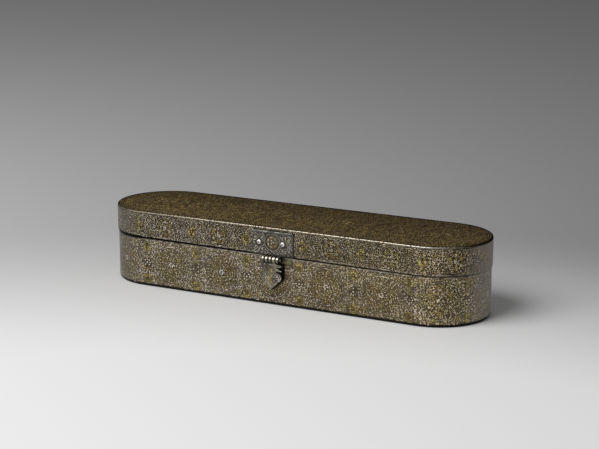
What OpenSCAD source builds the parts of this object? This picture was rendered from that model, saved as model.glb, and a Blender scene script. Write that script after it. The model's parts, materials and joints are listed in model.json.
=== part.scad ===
// Round-ended pen box of sheet brass: a body and a hinged lid, two strap hinges at the back,
// a hinged hasp at the front, and an ink end with three cups let into a deck.
// Origin: centre of the flat underside. X runs along the box, Y points to the hinges, Z is up.

/* [Case] */
// Outer length of the lid
case_length = 290; // [220:1:340]
// Outer width of the lid
case_width = 75.5; // [66:0.5:90]
// Height of the body at the right end of its rim
body_height = 34.5; // [30:0.1:48]
// How much higher the rim of the body lies at the left end
rim_rise = 1; // [0.2:0.1:1.4]
// Height of the lid from the right end of its lower edge to its top
lid_height = 20; // [18:0.2:30]
// Thickness of the sheet in the walls
wall = 1.2; // [0.8:0.1:1.8]
// Thickness of the floor and of the lid's top
plate = 1.4; // [1.1:0.1:2.4]
// How far the lid stands out over the body
lid_overhang = 0.6; // [0.3:0.1:0.9]
// Gap between lid and body at the right end of the seam
seam_gap = 0.3; // [0.2:0.1:0.8]
// How much wider that gap is at the left end
seam_spread = 0.7; // [0.1:0.1:0.8]
// Round along the top edge of the lid
top_round = 1; // [0.4:0.1:1]
// Chamfer along the lower edge of the body's wall
foot_chamfer = 0.8; // [0.2:0.1:0.8]
// How far the floor of the box stands out below that edge
foot_rise = 0.6; // [0.2:0.1:0.8]

/* [Rim lip] */
// Thickness of the lip that stands inside the rim
lip_thickness = 0.9; // [0.6:0.1:1.4]
// Height of the lip above the right end of the rim
lip_rise = 4; // [2:0.2:6]
// Depth of the lip below the right end of the rim
lip_depth = 6; // [4:0.2:7]

/* [Ink end] */
// Length of the ink end, from the inside of the right wall
ink_length = 74; // [68:1:90]
// Drop from the rim to the top of the ink deck
deck_drop = 7.4; // [7:0.2:10]
// Thickness of the deck, its bulkhead and the cups
ink_sheet = 1; // [0.6:0.1:1.4]
// Inner radius of the ink cup
ink_cup_radius = 16; // [12:0.5:17]
// Inner radius of the two small cups
small_cup_radius = 6.5; // [4:0.5:8]
// Depth of the cups
cup_depth = 21; // [10:0.5:22]
// Width of the flange that a cup hangs by
cup_flange = 2.5; // [1.5:0.1:3]
// Gap between two flanges, and between a flange and the bulkhead
flange_gap = 2; // [1:0.1:2.5]
// Clearance of a cup in its hole and of the deck at the walls
seat_fit = 0.05; // [0.02:0.01:0.1]

/* [Hinges] */
// Distance of each hinge from the middle of the box
hinge_offset = 70; // [40:1:80]
// Width of a hinge leaf
hinge_width = 24; // [18:0.5:32]
// Height of the plate of a hinge leaf
hinge_height = 11; // [8:0.5:12]
// Distance of a leaf's rivets from its side edges
hinge_rivet_inset = 4.8; // [3:0.1:6]
// Number of knuckles on each barrel
knuckle_count = 5; // [3:2:5]
// Outer radius of a knuckle
knuckle_radius = 2.2; // [1.8:0.1:2.4]
// Side gap between two knuckles
knuckle_gap = 0.15; // [0.1:0.05:0.3]
// Radius of the hinge pins
pin_radius = 0.9; // [0.6:0.1:1.1]
// Running clearance of a pin in its knuckles
pin_fit = 0.05; // [0.02:0.01:0.1]
// Radius of the peened button at each end of a pin
pin_head_radius = 1.4; // [1.2:0.1:1.7]
// Length of that button
pin_head_length = 0.8; // [0.4:0.1:1]
// Clearance from a knuckle to the plate of the other leaf
knuckle_clearance = 0.3; // [0.2:0.1:0.5]
// Gap from the face of the lid to the nearest point of a knuckle
knuckle_standoff = 0.4; // [0.3:0.1:0.7]
// Thickness of the hinge leaves and of the hasp plate
leaf_thickness = 0.9; // [0.7:0.1:1.2]

/* [Rivets] */
// Radius of a rivet's head
rivet_head_radius = 1.6; // [1.2:0.1:2]
// Height of a rivet's domed head
rivet_head_height = 0.9; // [0.5:0.1:1]
// Radius of the dish punched into a rivet's head
rivet_dish_radius = 0.6; // [0.3:0.1:0.8]
// Depth of that dish
rivet_dish_depth = 0.3; // [0.1:0.1:0.4]
// Radius of a rivet's shank
rivet_shank_radius = 0.8; // [0.5:0.1:1]
// Depth of the countersink that a rivet's tail fills, inside the wall
rivet_tail = 0.5; // [0.3:0.1:0.7]
// Radius of the tail, flush with the inside of the wall
rivet_tail_radius = 1.3; // [1.1:0.1:1.6]

/* [Hasp] */
// Offset of the hasp from the middle of the box
hasp_offset = 1.2; // [0:0.1:2]
// Width of the hasp plate on the lid
hasp_width = 32; // [28:0.5:40]
// Distance from the top of the lid down to the hasp plate
hasp_margin = 2.6; // [1.4:0.1:4]
// Distance between the two rivets of the hasp plate
hasp_rivet_spacing = 18.5; // [18:0.5:21]
// Height of those rivets above the lower edge of the plate
hasp_rivet_height = 8.5; // [7:0.1:10]
// How far those rivets stand to the left of the plate's middle
hasp_rivet_shift = 1.2; // [0:0.1:2]
// Length of the hasp's barrel
hasp_barrel = 14; // [12:0.5:18]
// Half width of the tongue at its belly
tongue_half_width = 8.2; // [7:0.1:9]
// Length of the tongue from its pin to its tip
tongue_length = 21.2; // [19:0.2:24]
// Distance from the middle of the belly's rounds down to the tip
tip_length = 8.8; // [8:0.1:9]
// Radius of the rounds at the sides of the belly
belly_round = 3.5; // [2.8:0.1:3.6]
// Half width of the tongue's neck
neck_half_width = 4.4; // [4:0.1:5]
// Distance from the pin down to the root of the upper barbs
upper_barb_drop = 3.7; // [3.5:0.1:3.8]
// Length of an upper barb from the middle of the neck
upper_barb_length = 9.2; // [8:0.1:9.4]
// Half width of an upper barb
upper_barb_half_width = 1.1; // [0.8:0.1:1.2]
// Slope of the upper barbs
upper_barb_slope = 4; // [0:1:6]
// Distance from the pin down to the root of the lower barbs
lower_barb_drop = 5.2; // [4.8:0.1:5.2]
// Length of a lower barb from the middle of the neck
lower_barb_length = 9; // [8:0.1:9.4]
// Half width of a lower barb
lower_barb_half_width = 1; // [0.8:0.1:1.1]
// Slope of the lower barbs
lower_barb_slope = 18; // [16:1:20]
// Thickness of the tongue behind the line of its pin
tongue_back = 0.6; // [0.4:0.1:0.8]
// Height of the crown of the tongue in front of its pin
tongue_crown = 1.3; // [0.9:0.1:1.5]
// Radius of the crown across the tongue
crown_radius = 32; // [28:1:60]
// Radius of the catch stud behind the tongue
stud_radius = 1.2; // [0.8:0.1:1.4]
// Distance from the pin down to the catch stud
stud_drop = 12; // [10:0.5:14]
// Gap from the hanging stud's tip to the body
stud_gap = 0.6; // [0.4:0.1:0.9]
// Clearance round the stud in its hole
stud_clearance = 0.5; // [0.3:0.1:0.8]

/* [Hidden] */
$fn = 96;
eps = 0.01;
// How far a cut runs past the face that it opens
past = 1;
// How far a straight edge runs inside the round that it joins
edge_bite = 0.05;
brass = "#6b5f45";
dark_brass = "#5a4a2c";
bright_brass = "#a08a55";
steel_grey = "#6e6f70";
silver = "#d8d6cc";

// Plan: every wall follows one straight run with a half circle at each end
run = case_length - case_width;
lid_r = case_width / 2;
lid_inner_r = lid_r - wall;
body_r = lid_r - lid_overhang;
body_inner_r = body_r - wall;

// Heights: both edges of the seam rise from right to left, the lid's more than the body's
lid_bottom = body_height + seam_gap;
lid_rise = rim_rise + seam_spread;
lid_middle = lid_bottom + lid_rise / 2;
case_top = lid_bottom + lid_height;
deck_top = body_height - deck_drop;
deck_bottom = deck_top - ink_sheet;
cup_bottom = deck_top - cup_depth;

// Ink end, at the right
ink_end_x = run / 2 + body_inner_r;
bulkhead_x = ink_end_x - ink_length;
// The ink cup shares its centre with the round end, and the small cups stand between it and the bulkhead
ink_flange_r = ink_cup_radius + ink_sheet + cup_flange;
small_flange_r = small_cup_radius + ink_sheet + cup_flange;
ink_cup_x = run / 2;
small_cup_x = bulkhead_x + ink_sheet + flange_gap + small_flange_r;
cup_spacing = ink_flange_r + small_flange_r + flange_gap;
cup_step = ink_cup_x - small_cup_x;
small_cup_y = max(small_flange_r + flange_gap / 2, sqrt(max(0, pow(cup_spacing, 2) - pow(cup_step, 2))));

// Hinge barrels: those at the back turn level with the lowest point of the lid's edge
axis_off = knuckle_standoff + knuckle_radius;
barrel_clear = knuckle_radius + knuckle_clearance;
hinge_axis_y = lid_r + axis_off;
hinge_axis_z = lid_bottom;
hasp_axis_y = -hinge_axis_y;
hasp_axis_z = lid_middle - barrel_clear;
hasp_height = case_top - hasp_margin - lid_middle;
hinge_rivet_spacing = hinge_width - 2 * hinge_rivet_inset;
hinge_rivet_z = barrel_clear + hinge_height / 2;
hasp_rivet_z = barrel_clear + hasp_rivet_height;

// Catch
stud_length = axis_off - tongue_back + lid_overhang - stud_gap;

// Sweeps a profile, drawn at (radius, height), round the plan of the box
module stadium_sweep() {
    for (end = [-1, 1])
        translate([end * run / 2, 0, 0])
            rotate([0, 0, -90 * end])
                rotate_extrude(angle = 180) children();
    for (side = [0, 180])
        rotate([0, 0, side])
            rotate([90, 0, 90])
                linear_extrude(run, center = true) children();
}

// Upright band of one thickness
module band(outer_r, thickness, z0, z1) {
    stadium_sweep()
        translate([outer_r - thickness, z0]) square([thickness, z1 - z0]);
}

// Flat plate that fills the plan out to one radius
module flat_plate(r, z0, z1) {
    stadium_sweep()
        translate([0, z0]) square([r, z1 - z0]);
}

// Radius of the round whose cap has that half width and height
function cap_radius(half_width, height) = (pow(half_width, 2) + pow(height, 2)) / (2 * height);

// Rod along X, centred on the origin
module rod_x(r, length) {
    rotate([0, 90, 0]) cylinder(r = r, h = length, center = true);
}

// Rod along Y, from y0 to y1
module rod_y(r, y0, y1) {
    translate([0, y0, 0]) rotate([-90, 0, 0]) cylinder(r = r, h = y1 - y0);
}

// Everything between a level and a line that rises from right to left
module up_to_line(right_z, rise, level) {
    end_x = case_length / 2 + past;
    beyond = rise * past / case_length;
    rotate([90, 0, 0])
        linear_extrude(case_width * 2, center = true)
            polygon([
                [-end_x, right_z + rise + beyond],
                [end_x, right_z - beyond],
                [end_x, level],
                [-end_x, level]
            ]);
}

// Places children at the rivet holes of a plate: the pin is at the origin, Y points out of the wall
module at_rivets(spacing, z, shift) {
    for (side = [-1, 1])
        translate([side * spacing / 2 + shift, 0, z]) children();
}

// Local frames of the three barrels
module at_hinge(side) {
    translate([side * hinge_offset, hinge_axis_y, hinge_axis_z]) children();
}

module at_hasp() {
    translate([hasp_offset, hasp_axis_y, hasp_axis_z]) rotate([0, 0, 180]) children();
}

// The body's leaf hangs down from the barrel, the lid's leaf stands up
module downward() {
    mirror([0, 0, 1]) children();
}

// Barrel slots from left to right, where a leaf takes every other one
function slot_length(barrel) = (barrel - (knuckle_count - 1) * knuckle_gap) / knuckle_count;
function slot_x(barrel, i) = (i - (knuckle_count - 1) / 2) * (slot_length(barrel) + knuckle_gap);

// Knuckles of one leaf, each with the tab that ties it to the plate, before they are bored
module knuckles(barrel, first, tab_y0, tab_y1) {
    for (i = [first : 2 : knuckle_count - 1])
        translate([slot_x(barrel, i), 0, 0]) {
            rod_x(knuckle_radius, slot_length(barrel));
            translate([-slot_length(barrel) / 2, tab_y0, 0])
                cube([slot_length(barrel), tab_y1 - tab_y0, barrel_clear + eps]);
        }
}

// Leaf with a riveted plate: `behind` packs it out to a face that lies further back
module riveted_leaf(width, height, barrel, first, behind, spacing, rivet_z, shift = 0) {
    back = -axis_off - behind;
    face = -axis_off + leaf_thickness;
    difference() {
        union() {
            translate([-width / 2, back, barrel_clear])
                cube([width, face - back, height]);
            knuckles(barrel, first, back, face);
        }
        rod_x(pin_radius + pin_fit, barrel + 2 * past);
        at_rivets(spacing, rivet_z, shift)
            rod_y(rivet_shank_radius + seat_fit, back - past, face + past);
    }
}

// Countersunk rivet holes through a wall, drilled from the barrel's local frame
module rivet_holes(spacing, rivet_z, behind, shift = 0) {
    outside = -axis_off - behind;
    at_rivets(spacing, rivet_z, shift) {
        rod_y(rivet_shank_radius + seat_fit, outside - wall - past, outside + past);
        rivet_tail_cone(outside - wall, seat_fit);
    }
}

// Rivets with a domed and dished head on the leaf and a tail hammered flush into the inside of the wall
module rivets(spacing, rivet_z, behind, shift = 0) {
    face = -axis_off + leaf_thickness;
    inside = -axis_off - behind - wall;
    at_rivets(spacing, rivet_z, shift) {
        translate([0, face, 0])
            rotate([-90, 0, 0])
                rivet_head();
        rod_y(rivet_shank_radius, inside, face + eps);
        rivet_tail_cone(inside, 0);
    }
}

module rivet_tail_cone(inside, fit) {
    translate([0, inside, 0])
        rotate([-90, 0, 0])
            cylinder(r1 = rivet_tail_radius + fit, r2 = rivet_shank_radius + fit, h = rivet_tail);
}

module rivet_head() {
    dome_r = cap_radius(rivet_head_radius, rivet_head_height);
    dish_r = cap_radius(rivet_dish_radius, rivet_dish_depth);
    difference() {
        intersection() {
            translate([0, 0, rivet_head_height - dome_r]) sphere(r = dome_r);
            cylinder(r = rivet_head_radius, h = rivet_head_height);
        }
        translate([0, 0, rivet_head_height - rivet_dish_depth + dish_r]) sphere(r = dish_r);
    }
}

// Pin with a peened button at each end of its barrel
module barrel_pin(barrel) {
    rod_x(pin_radius, barrel + 2 * knuckle_gap);
    for (end = [-1, 1])
        translate([end * (barrel / 2 + knuckle_gap + pin_head_length / 2), 0, 0])
            rod_x(pin_head_radius, pin_head_length);
}

module hinge_barrel_pin(side) {
    at_hinge(side) barrel_pin(hinge_width);
}

// Body
module body_wall() {
    color(brass)
    difference() {
        stadium_sweep()
            polygon([
                [body_inner_r, foot_rise],
                [body_r - foot_chamfer, foot_rise],
                [body_r, foot_rise + foot_chamfer],
                [body_r, case_top],
                [body_inner_r, case_top]
            ]);
        up_to_line(body_height, rim_rise, case_top + past);
        for (side = [-1, 1])
            at_hinge(side) downward()
                rivet_holes(hinge_rivet_spacing, hinge_rivet_z, lid_overhang);
        at_hasp()
            translate([0, 0, -stud_drop])
                rod_y(stud_radius + stud_clearance, -axis_off - lid_overhang - wall - past, -axis_off);
    }
}

module body_base() {
    color(dark_brass) flat_plate(body_inner_r, 0, plate);
}

module rim_lip() {
    color(bright_brass)
        band(body_inner_r, lip_thickness, body_height - lip_depth, body_height + lip_rise);
}

// Ink end
module ink_bulkhead() {
    half = body_inner_r - seat_fit;
    color(bright_brass)
        translate([bulkhead_x, -half, plate])
            cube([ink_sheet, 2 * half, deck_bottom - plate]);
}

module ink_deck() {
    color(bright_brass)
    difference() {
        intersection() {
            flat_plate(body_inner_r - seat_fit, deck_bottom, deck_top);
            translate([bulkhead_x, -case_width, 0])
                cube([case_length, 2 * case_width, case_top]);
        }
        at_ink_cup() cup_hole(ink_cup_radius);
        for (side = [-1, 1])
            at_small_cup(side) cup_hole(small_cup_radius);
    }
}

module at_ink_cup() {
    translate([ink_cup_x, 0, 0]) children();
}

module at_small_cup(side) {
    translate([small_cup_x, side * small_cup_y, 0]) children();
}

module cup_hole(inner_r) {
    translate([0, 0, deck_bottom - past])
        cylinder(r = inner_r + ink_sheet + seat_fit, h = ink_sheet + 2 * past);
}

// Cup that hangs in the deck by its flange
module cup(inner_r) {
    difference() {
        union() {
            translate([0, 0, cup_bottom])
                cylinder(r = inner_r + ink_sheet, h = cup_depth + eps);
            translate([0, 0, deck_top])
                cylinder(r = inner_r + ink_sheet + cup_flange, h = ink_sheet);
        }
        translate([0, 0, cup_bottom + ink_sheet])
            cylinder(r = inner_r, h = cup_depth + ink_sheet);
    }
}

module ink_cup() {
    color(bright_brass) at_ink_cup() cup(ink_cup_radius);
}

module sand_cup() {
    color(bright_brass) at_small_cup(-1) cup(small_cup_radius);
}

module starch_cup() {
    color(bright_brass) at_small_cup(1) cup(small_cup_radius);
}

// Hinges
module hinge_body_leaf(side) {
    color(steel_grey)
        at_hinge(side) downward()
            riveted_leaf(hinge_width, hinge_height, hinge_width, 0, lid_overhang,
                         hinge_rivet_spacing, hinge_rivet_z);
}

module hinge_lid_leaf(side) {
    color(steel_grey)
        at_hinge(side)
            riveted_leaf(hinge_width, hinge_height, hinge_width, 1, 0,
                         hinge_rivet_spacing, hinge_rivet_z);
}

module hinge_body_rivets() {
    color(silver)
        for (side = [-1, 1])
            at_hinge(side) downward()
                rivets(hinge_rivet_spacing, hinge_rivet_z, lid_overhang);
}

module hinge_lid_rivets() {
    color(silver)
        for (side = [-1, 1])
            at_hinge(side) rivets(hinge_rivet_spacing, hinge_rivet_z, 0);
}

module hinge_pin(side) {
    color(steel_grey) hinge_barrel_pin(side);
}

// Lid
module lid_wall() {
    color(brass)
    difference() {
        band(lid_r, wall, lid_bottom - past, case_top - plate);
        up_to_line(lid_bottom, lid_rise, lid_bottom - 2 * past);
        for (side = [-1, 1])
            at_hinge(side) rivet_holes(hinge_rivet_spacing, hinge_rivet_z, 0);
        at_hasp() rivet_holes(hasp_rivet_spacing, hasp_rivet_z, 0, hasp_rivet_shift);
    }
}

module lid_top() {
    color(dark_brass)
        stadium_sweep()
            union() {
                translate([0, case_top - plate]) square([lid_r - top_round, plate]);
                translate([0, case_top - plate]) square([lid_r, plate - top_round]);
                intersection() {
                    translate([lid_r - top_round, case_top - top_round]) circle(r = top_round);
                    translate([lid_r - top_round, case_top - top_round]) square(top_round);
                }
            }
}

// Hasp
module hasp_plate() {
    color(steel_grey)
        at_hasp()
            riveted_leaf(hasp_width, hasp_height, hasp_barrel, 0, 0,
                         hasp_rivet_spacing, hasp_rivet_z, hasp_rivet_shift);
}

module hasp_rivets() {
    color(silver) at_hasp() rivets(hasp_rivet_spacing, hasp_rivet_z, 0, hasp_rivet_shift);
}

module hasp_pin() {
    color(silver) at_hasp() barrel_pin(hasp_barrel);
}

// Pointed leaf that lies along X from the origin, the overlap of two arcs
module pointed_leaf(length, half_width) {
    arc_r = cap_radius(length / 2, half_width);
    intersection_for (side = [-1, 1])
        translate([length / 2, side * (arc_r - half_width)]) circle(r = arc_r);
}

// Outline of the tongue below its barrel: a neck with two barbs on each side, and a pointed belly
module tongue_outline() {
    round_x = tongue_half_width - belly_round;
    round_z = tip_length - tongue_length;
    // The straight edge from the tip runs into the round at the side of the belly
    touch_r = belly_round - edge_bite;
    reach = norm([round_x, tip_length]);
    edge_slope = atan2(tip_length, round_x) - asin(touch_r / reach);
    edge_length = sqrt(pow(reach, 2) - pow(touch_r, 2));
    edge_x = edge_length * cos(edge_slope);
    edge_z = edge_length * sin(edge_slope) - tongue_length;
    polygon([
        [0, -tongue_length],
        [edge_x, edge_z],
        [round_x, round_z],
        [-round_x, round_z],
        [-edge_x, edge_z]
    ]);
    for (side = [0, 1])
        mirror([side, 0]) {
            translate([round_x, round_z]) circle(r = belly_round);
            translate([0, -upper_barb_drop])
                rotate(-upper_barb_slope) pointed_leaf(upper_barb_length, upper_barb_half_width);
            translate([0, -lower_barb_drop])
                rotate(-lower_barb_slope) pointed_leaf(lower_barb_length, lower_barb_half_width);
        }
    translate([-neck_half_width, round_z])
        square([2 * neck_half_width, -round_z - barrel_clear]);
}

module hasp_tongue() {
    thickness = tongue_back + tongue_crown;
    color(steel_grey)
    at_hasp()
    difference() {
        union() {
            intersection() {
                translate([0, -tongue_back, 0])
                    rotate([90, 0, 0]) mirror([0, 0, 1]) linear_extrude(thickness) tongue_outline();
                translate([0, tongue_crown - crown_radius, -tongue_length - past])
                    cylinder(r = crown_radius, h = tongue_length + past - barrel_clear);
            }
            downward() knuckles(hasp_barrel, 1, -tongue_back, tongue_back);
        }
        rod_x(pin_radius + pin_fit, hasp_barrel + 2 * past);
    }
}

module catch_stud() {
    color(steel_grey)
        at_hasp()
            translate([0, 0, -stud_drop])
                rod_y(stud_radius, -tongue_back - stud_length, -tongue_back);
}

body_wall();
body_base();
rim_lip();
ink_bulkhead();
ink_deck();
ink_cup();
sand_cup();
starch_cup();
hinge_body_leaf(-1);  // hinge_body_leaf_left
hinge_body_leaf(1);  // hinge_body_leaf_right
hinge_pin(-1);  // hinge_pin_left
hinge_pin(1);  // hinge_pin_right
hinge_body_rivets();
lid_wall();
lid_top();
hinge_lid_leaf(-1);  // hinge_lid_leaf_left
hinge_lid_leaf(1);  // hinge_lid_leaf_right
hinge_lid_rivets();
hasp_plate();
hasp_rivets();
hasp_pin();
hasp_tongue();
catch_stud();
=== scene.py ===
"""Dresses a round-ended pen box of sheet brass: metal finishes, silver and gold inlay, stage and camera."""

import json
import math
import random
from typing import Callable, NamedTuple

import bpy
from bpy.props import FloatProperty, FloatVectorProperty, IntProperty, PointerProperty
from mathutils import Matrix, Vector, kdtree

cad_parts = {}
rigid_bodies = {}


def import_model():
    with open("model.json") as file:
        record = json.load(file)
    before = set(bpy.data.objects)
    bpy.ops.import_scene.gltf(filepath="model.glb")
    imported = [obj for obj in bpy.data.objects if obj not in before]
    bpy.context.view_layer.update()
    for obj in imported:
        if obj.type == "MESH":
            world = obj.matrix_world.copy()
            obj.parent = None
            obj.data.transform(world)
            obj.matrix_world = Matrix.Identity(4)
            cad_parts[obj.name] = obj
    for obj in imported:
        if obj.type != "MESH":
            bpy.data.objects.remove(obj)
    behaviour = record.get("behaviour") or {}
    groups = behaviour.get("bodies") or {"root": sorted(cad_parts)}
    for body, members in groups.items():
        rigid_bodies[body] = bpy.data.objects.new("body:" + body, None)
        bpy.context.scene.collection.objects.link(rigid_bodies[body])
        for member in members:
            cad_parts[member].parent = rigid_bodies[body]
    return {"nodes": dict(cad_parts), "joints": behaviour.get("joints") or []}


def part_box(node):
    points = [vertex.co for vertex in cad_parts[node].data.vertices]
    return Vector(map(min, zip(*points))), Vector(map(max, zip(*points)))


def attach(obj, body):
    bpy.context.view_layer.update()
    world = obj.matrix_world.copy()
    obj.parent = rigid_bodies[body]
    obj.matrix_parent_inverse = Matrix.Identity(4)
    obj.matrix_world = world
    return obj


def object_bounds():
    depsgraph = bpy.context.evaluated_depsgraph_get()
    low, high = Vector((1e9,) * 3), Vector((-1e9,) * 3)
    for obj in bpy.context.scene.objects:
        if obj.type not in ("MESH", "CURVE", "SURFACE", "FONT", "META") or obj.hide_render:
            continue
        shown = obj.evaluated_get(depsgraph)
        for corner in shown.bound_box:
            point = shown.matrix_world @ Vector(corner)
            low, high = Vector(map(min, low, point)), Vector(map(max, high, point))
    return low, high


bl_info = {
    "name": "Inlaid Pen Box",
    "version": (1, 0, 0),
    "blender": (4, 5, 0),
    "location": "View3D > Sidebar > Pen Box",
    "description": "Finishes, inlay and stage for a round-ended brass pen box",
    "category": "Add Mesh",
}

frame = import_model()
cad_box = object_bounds()

MM = 0.001

# Places that follow from the frame
lid_low, lid_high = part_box("lid_wall")
_, top_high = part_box("lid_top")
body_low, body_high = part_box("body_wall")
_, base_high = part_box("body_base")
plate_low, plate_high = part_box("hasp_plate")
tongue_low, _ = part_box("hasp_tongue")
_, deck_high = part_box("ink_deck")
joint_axis = {joint["name"]: Vector(joint["pos_m"]) for joint in frame["joints"]}
hasp_axis = joint_axis["hasp_swing"]
hinge_axis = joint_axis["lid_hinge"]
LID_RADIUS = (lid_high.y - lid_low.y) / 2
BODY_RADIUS = (body_high.y - body_low.y) / 2
CASE_LENGTH = lid_high.x - lid_low.x
RUN = CASE_LENGTH - 2 * LID_RADIUS

# Sizes of the fittings and of the edges that the outer boxes don't tell
PLATE_THICKNESS = 0.9 * MM
PLATE_RIVET_SPACING = 18.5 * MM
PLATE_RIVET_HEIGHT = 8.5 * MM
PLATE_RIVET_SHIFT = -1.2 * MM
RIVET_DISH = 0.6 * MM
KNUCKLES = 5
KNUCKLE_RADIUS = 2.2 * MM
BARREL_CLEAR = 2.5 * MM
HASP_BARREL = 14 * MM
HINGE_BARREL = 24 * MM
HINGE_OFFSET = 70 * MM
TONGUE_CROWN = 1.3 * MM
TONGUE_BACK = 0.6 * MM
STUD_DROP = 12 * MM
CROWN_RADIUS = 32 * MM
TOP_ROUND = 1 * MM
FOOT_CHAMFER = 0.8 * MM
RIM_RISE = 1 * MM
LID_RISE = 1.7 * MM

crown_axis = hasp_axis.y - TONGUE_CROWN + CROWN_RADIUS
plate_edge = hasp_axis.z + BARREL_CLEAR
plate_rivets = Vector((hasp_axis.x + PLATE_RIVET_SHIFT, plate_edge + PLATE_RIVET_HEIGHT))
foot_top = body_low.z + FOOT_CHAMFER


class Edge(NamedTuple):
    """Line along a wall, level or sloping"""

    middle: float
    slope: float = 0.0

    def height(self, x):
        return self.middle + self.slope * x

    def moved(self, rise):
        return Edge(self.middle + rise, self.slope)


# Both edges of the seam rise from right to left, the lid's more than the body's
RIM = Edge(body_high.z - RIM_RISE / 2, -RIM_RISE / CASE_LENGTH)
LID_EDGE = Edge(lid_low.z + LID_RISE / 2, -LID_RISE / CASE_LENGTH)

# Patch of the body beside the hasp that is rubbed bare, and how softly it ends
BARE_LOW = Vector((8 * MM, -BODY_RADIUS, 29.7 * MM))
BARE_HIGH = Vector((16 * MM, -BODY_RADIUS, RIM.middle))
BARE_SOFT = 1.4 * MM

# Painted shadow on the body along the right edge of the hasp's tongue, which tapers to the tongue's tip
SHADOW_MIDDLE = hasp_axis.x + 0.4 * MM
SHADOW_TOP = hasp_axis.z - 3.2 * MM
SHADOW_TIP = tongue_low.z - 0.3 * MM
SHADOW_REACH = 8.4 * MM
SHADOW_FLANK = 1.1
SHADOW_TAIL = 1.4 * MM
SHADOW_WIDTH = 3.2 * MM
SHADOW_SOFT = 0.7 * MM

# Corners round the hole for the catch stud, a little larger than the hole
CATCH_MIDDLE = Vector((hasp_axis.x, -BODY_RADIUS, hasp_axis.z - STUD_DROP))
CATCH_REACH = Vector((2.4 * MM, 0, 2.4 * MM))

# Rubbed lines along a wall: how far from the seam they start, are full, begin to fade and end
WALL_RUB = (0.35 * MM, 0.5 * MM, 1 * MM, 1.4 * MM)
RIM_RUB = (0.35 * MM, 0.5 * MM, 0.75 * MM, 1 * MM)

# Rubbed rim of the body: its middle, and how far from there it begins to fade and ends
RIM_RUB_MIDDLE = 20 * MM
RIM_RUB_FADE = 25 * MM
RIM_RUB_END = 80 * MM

# Dirt and painted shade beside the seam, the shade standing for that under the lid's overhang: its width at
# the middle, the change of that to either hand, what the left end adds, and how softly it ends
SEAM_DIRT_AND_SHADE = 0.26 * MM
SEAM_DIRT_AND_SHADE_CHANGE = 0.16 * MM
SEAM_DIRT_AND_SHADE_LEFT = 0.8 * MM
SEAM_DIRT_AND_SHADE_SOFT = 0.1 * MM

# How far single bits of inlay differ in tarnish
BIT_VARIETY = 0.85

# Walls: how strongly their tarnish gathers in clouds, and their dust, which shows where they turn away
WALL_FINISH = {"cloudy": 0.35, "dust": 0.12}

# Ends by which the box is held, whose grey wear also paints the reflection where the walls turn away: the
# turn in plan of the line between the hands, where wear starts and is full along that line, and its share
HELD_TURN = math.radians(28)
HELD_FROM = 108 * MM
HELD_TO = 128 * MM
HELD_SHARE = 0.54

# Right end, where the walls are darker with painted shade before the worn part: the share, and where that
# starts and is full
DULL_SHARE = 0.2
DULL_FROM = 92 * MM
DULL_TO = 98 * MM

# Barrels: how far from a knuckle's middle its worn part, partly a painted highlight, begins to fade and
# ends, and the dirt of the joint starts and is full, in widths of a knuckle
KNUCKLE_WEAR = (0.12, 0.26, 0.3, 0.42)

# Slope, in plan, of the line behind which the edge of the lid's top has painted shade
BACK_SLANT = 0.12

# Specks on the lid's top are longer across the box than along it
SPECK_STRETCH = (1, 0.42, 1)

# Make-up of every metal: share of fine specks in its mottling, its unevenness, and the spread of its gloss
SPECK_SHARE = 0.35
RELIEF_STRENGTH = 0.15
RELIEF_DEPTH = 0.1 * MM
GLOSS_RANGE = (0.3, 0.7)
GLOSS_LESS = 0.08
GLOSS_MORE = 0.12
DIRT_AND_SHADE_ROUGHNESS = 0.8

SILVER = "silver"
GOLD = "gold"
SHADE = "shade"
BLACK = (0, 0, 0, 1)
MOTIFS = ("bar", "bead", "leaf_left", "leaf_right", "petal")
SIDES = ("left", "right")


def measure(name, description, default):
    """Property for one length"""
    return FloatProperty(name=name, description=description, default=default, unit="LENGTH", precision=5)


def colour(name, description, default):
    """Property for one linear colour"""
    return FloatVectorProperty(
        name=name, description=description, subtype="COLOR", size=3, min=0, max=1, default=default)


class PenBoxSizes(bpy.types.PropertyGroup):
    """Sizes and counts of the inlay"""

    lid_repeats: IntProperty(
        name="Lid repeats", description="Roundels round the wall of the lid", default=15, min=5, max=30)
    body_repeats: IntProperty(
        name="Body repeats", description="Roundels round the wall of the body", default=16, min=5, max=30)
    lid_roundel: measure("Lid roundel", "Radius of a roundel on the lid's wall", 7.7 * MM)
    body_roundel: measure("Body roundel", "Radius of a roundel on the body", 12.9 * MM)
    top_roundel: measure("Top roundel", "Radius of a roundel on the lid's top", 15 * MM)
    rosette: measure("Rosette", "Radius of a gold rosette", 3.4 * MM)
    scroll_cell: measure("Scroll cell", "Width of the field that one scroll fills", 8.3 * MM)
    turn_pitch: measure("Turn pitch", "Distance between two turns of a scroll", 1.4 * MM)
    sprig_step: measure("Sprig step", "Distance between two leaves along a stem", 1.05 * MM)
    stem_width: measure("Stem width", "Width of a stem, part of which is sunk", 0.38 * MM)
    leaf_length: measure("Leaf length", "Length of a leaf, part of which is sunk", 1.5 * MM)
    leaf_width: measure("Leaf width", "Width of a leaf, part of which is sunk", 1.12 * MM)
    line_width: measure("Line width", "Width of a ring or a border line", 0.4 * MM)
    rise: measure("Rise", "Height of the inlay above the wall", 0.05 * MM)
    lost_share: FloatProperty(
        name="Lost share", description="Share of the inlay that has fallen out",
        default=0.05, subtype="FACTOR")


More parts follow.
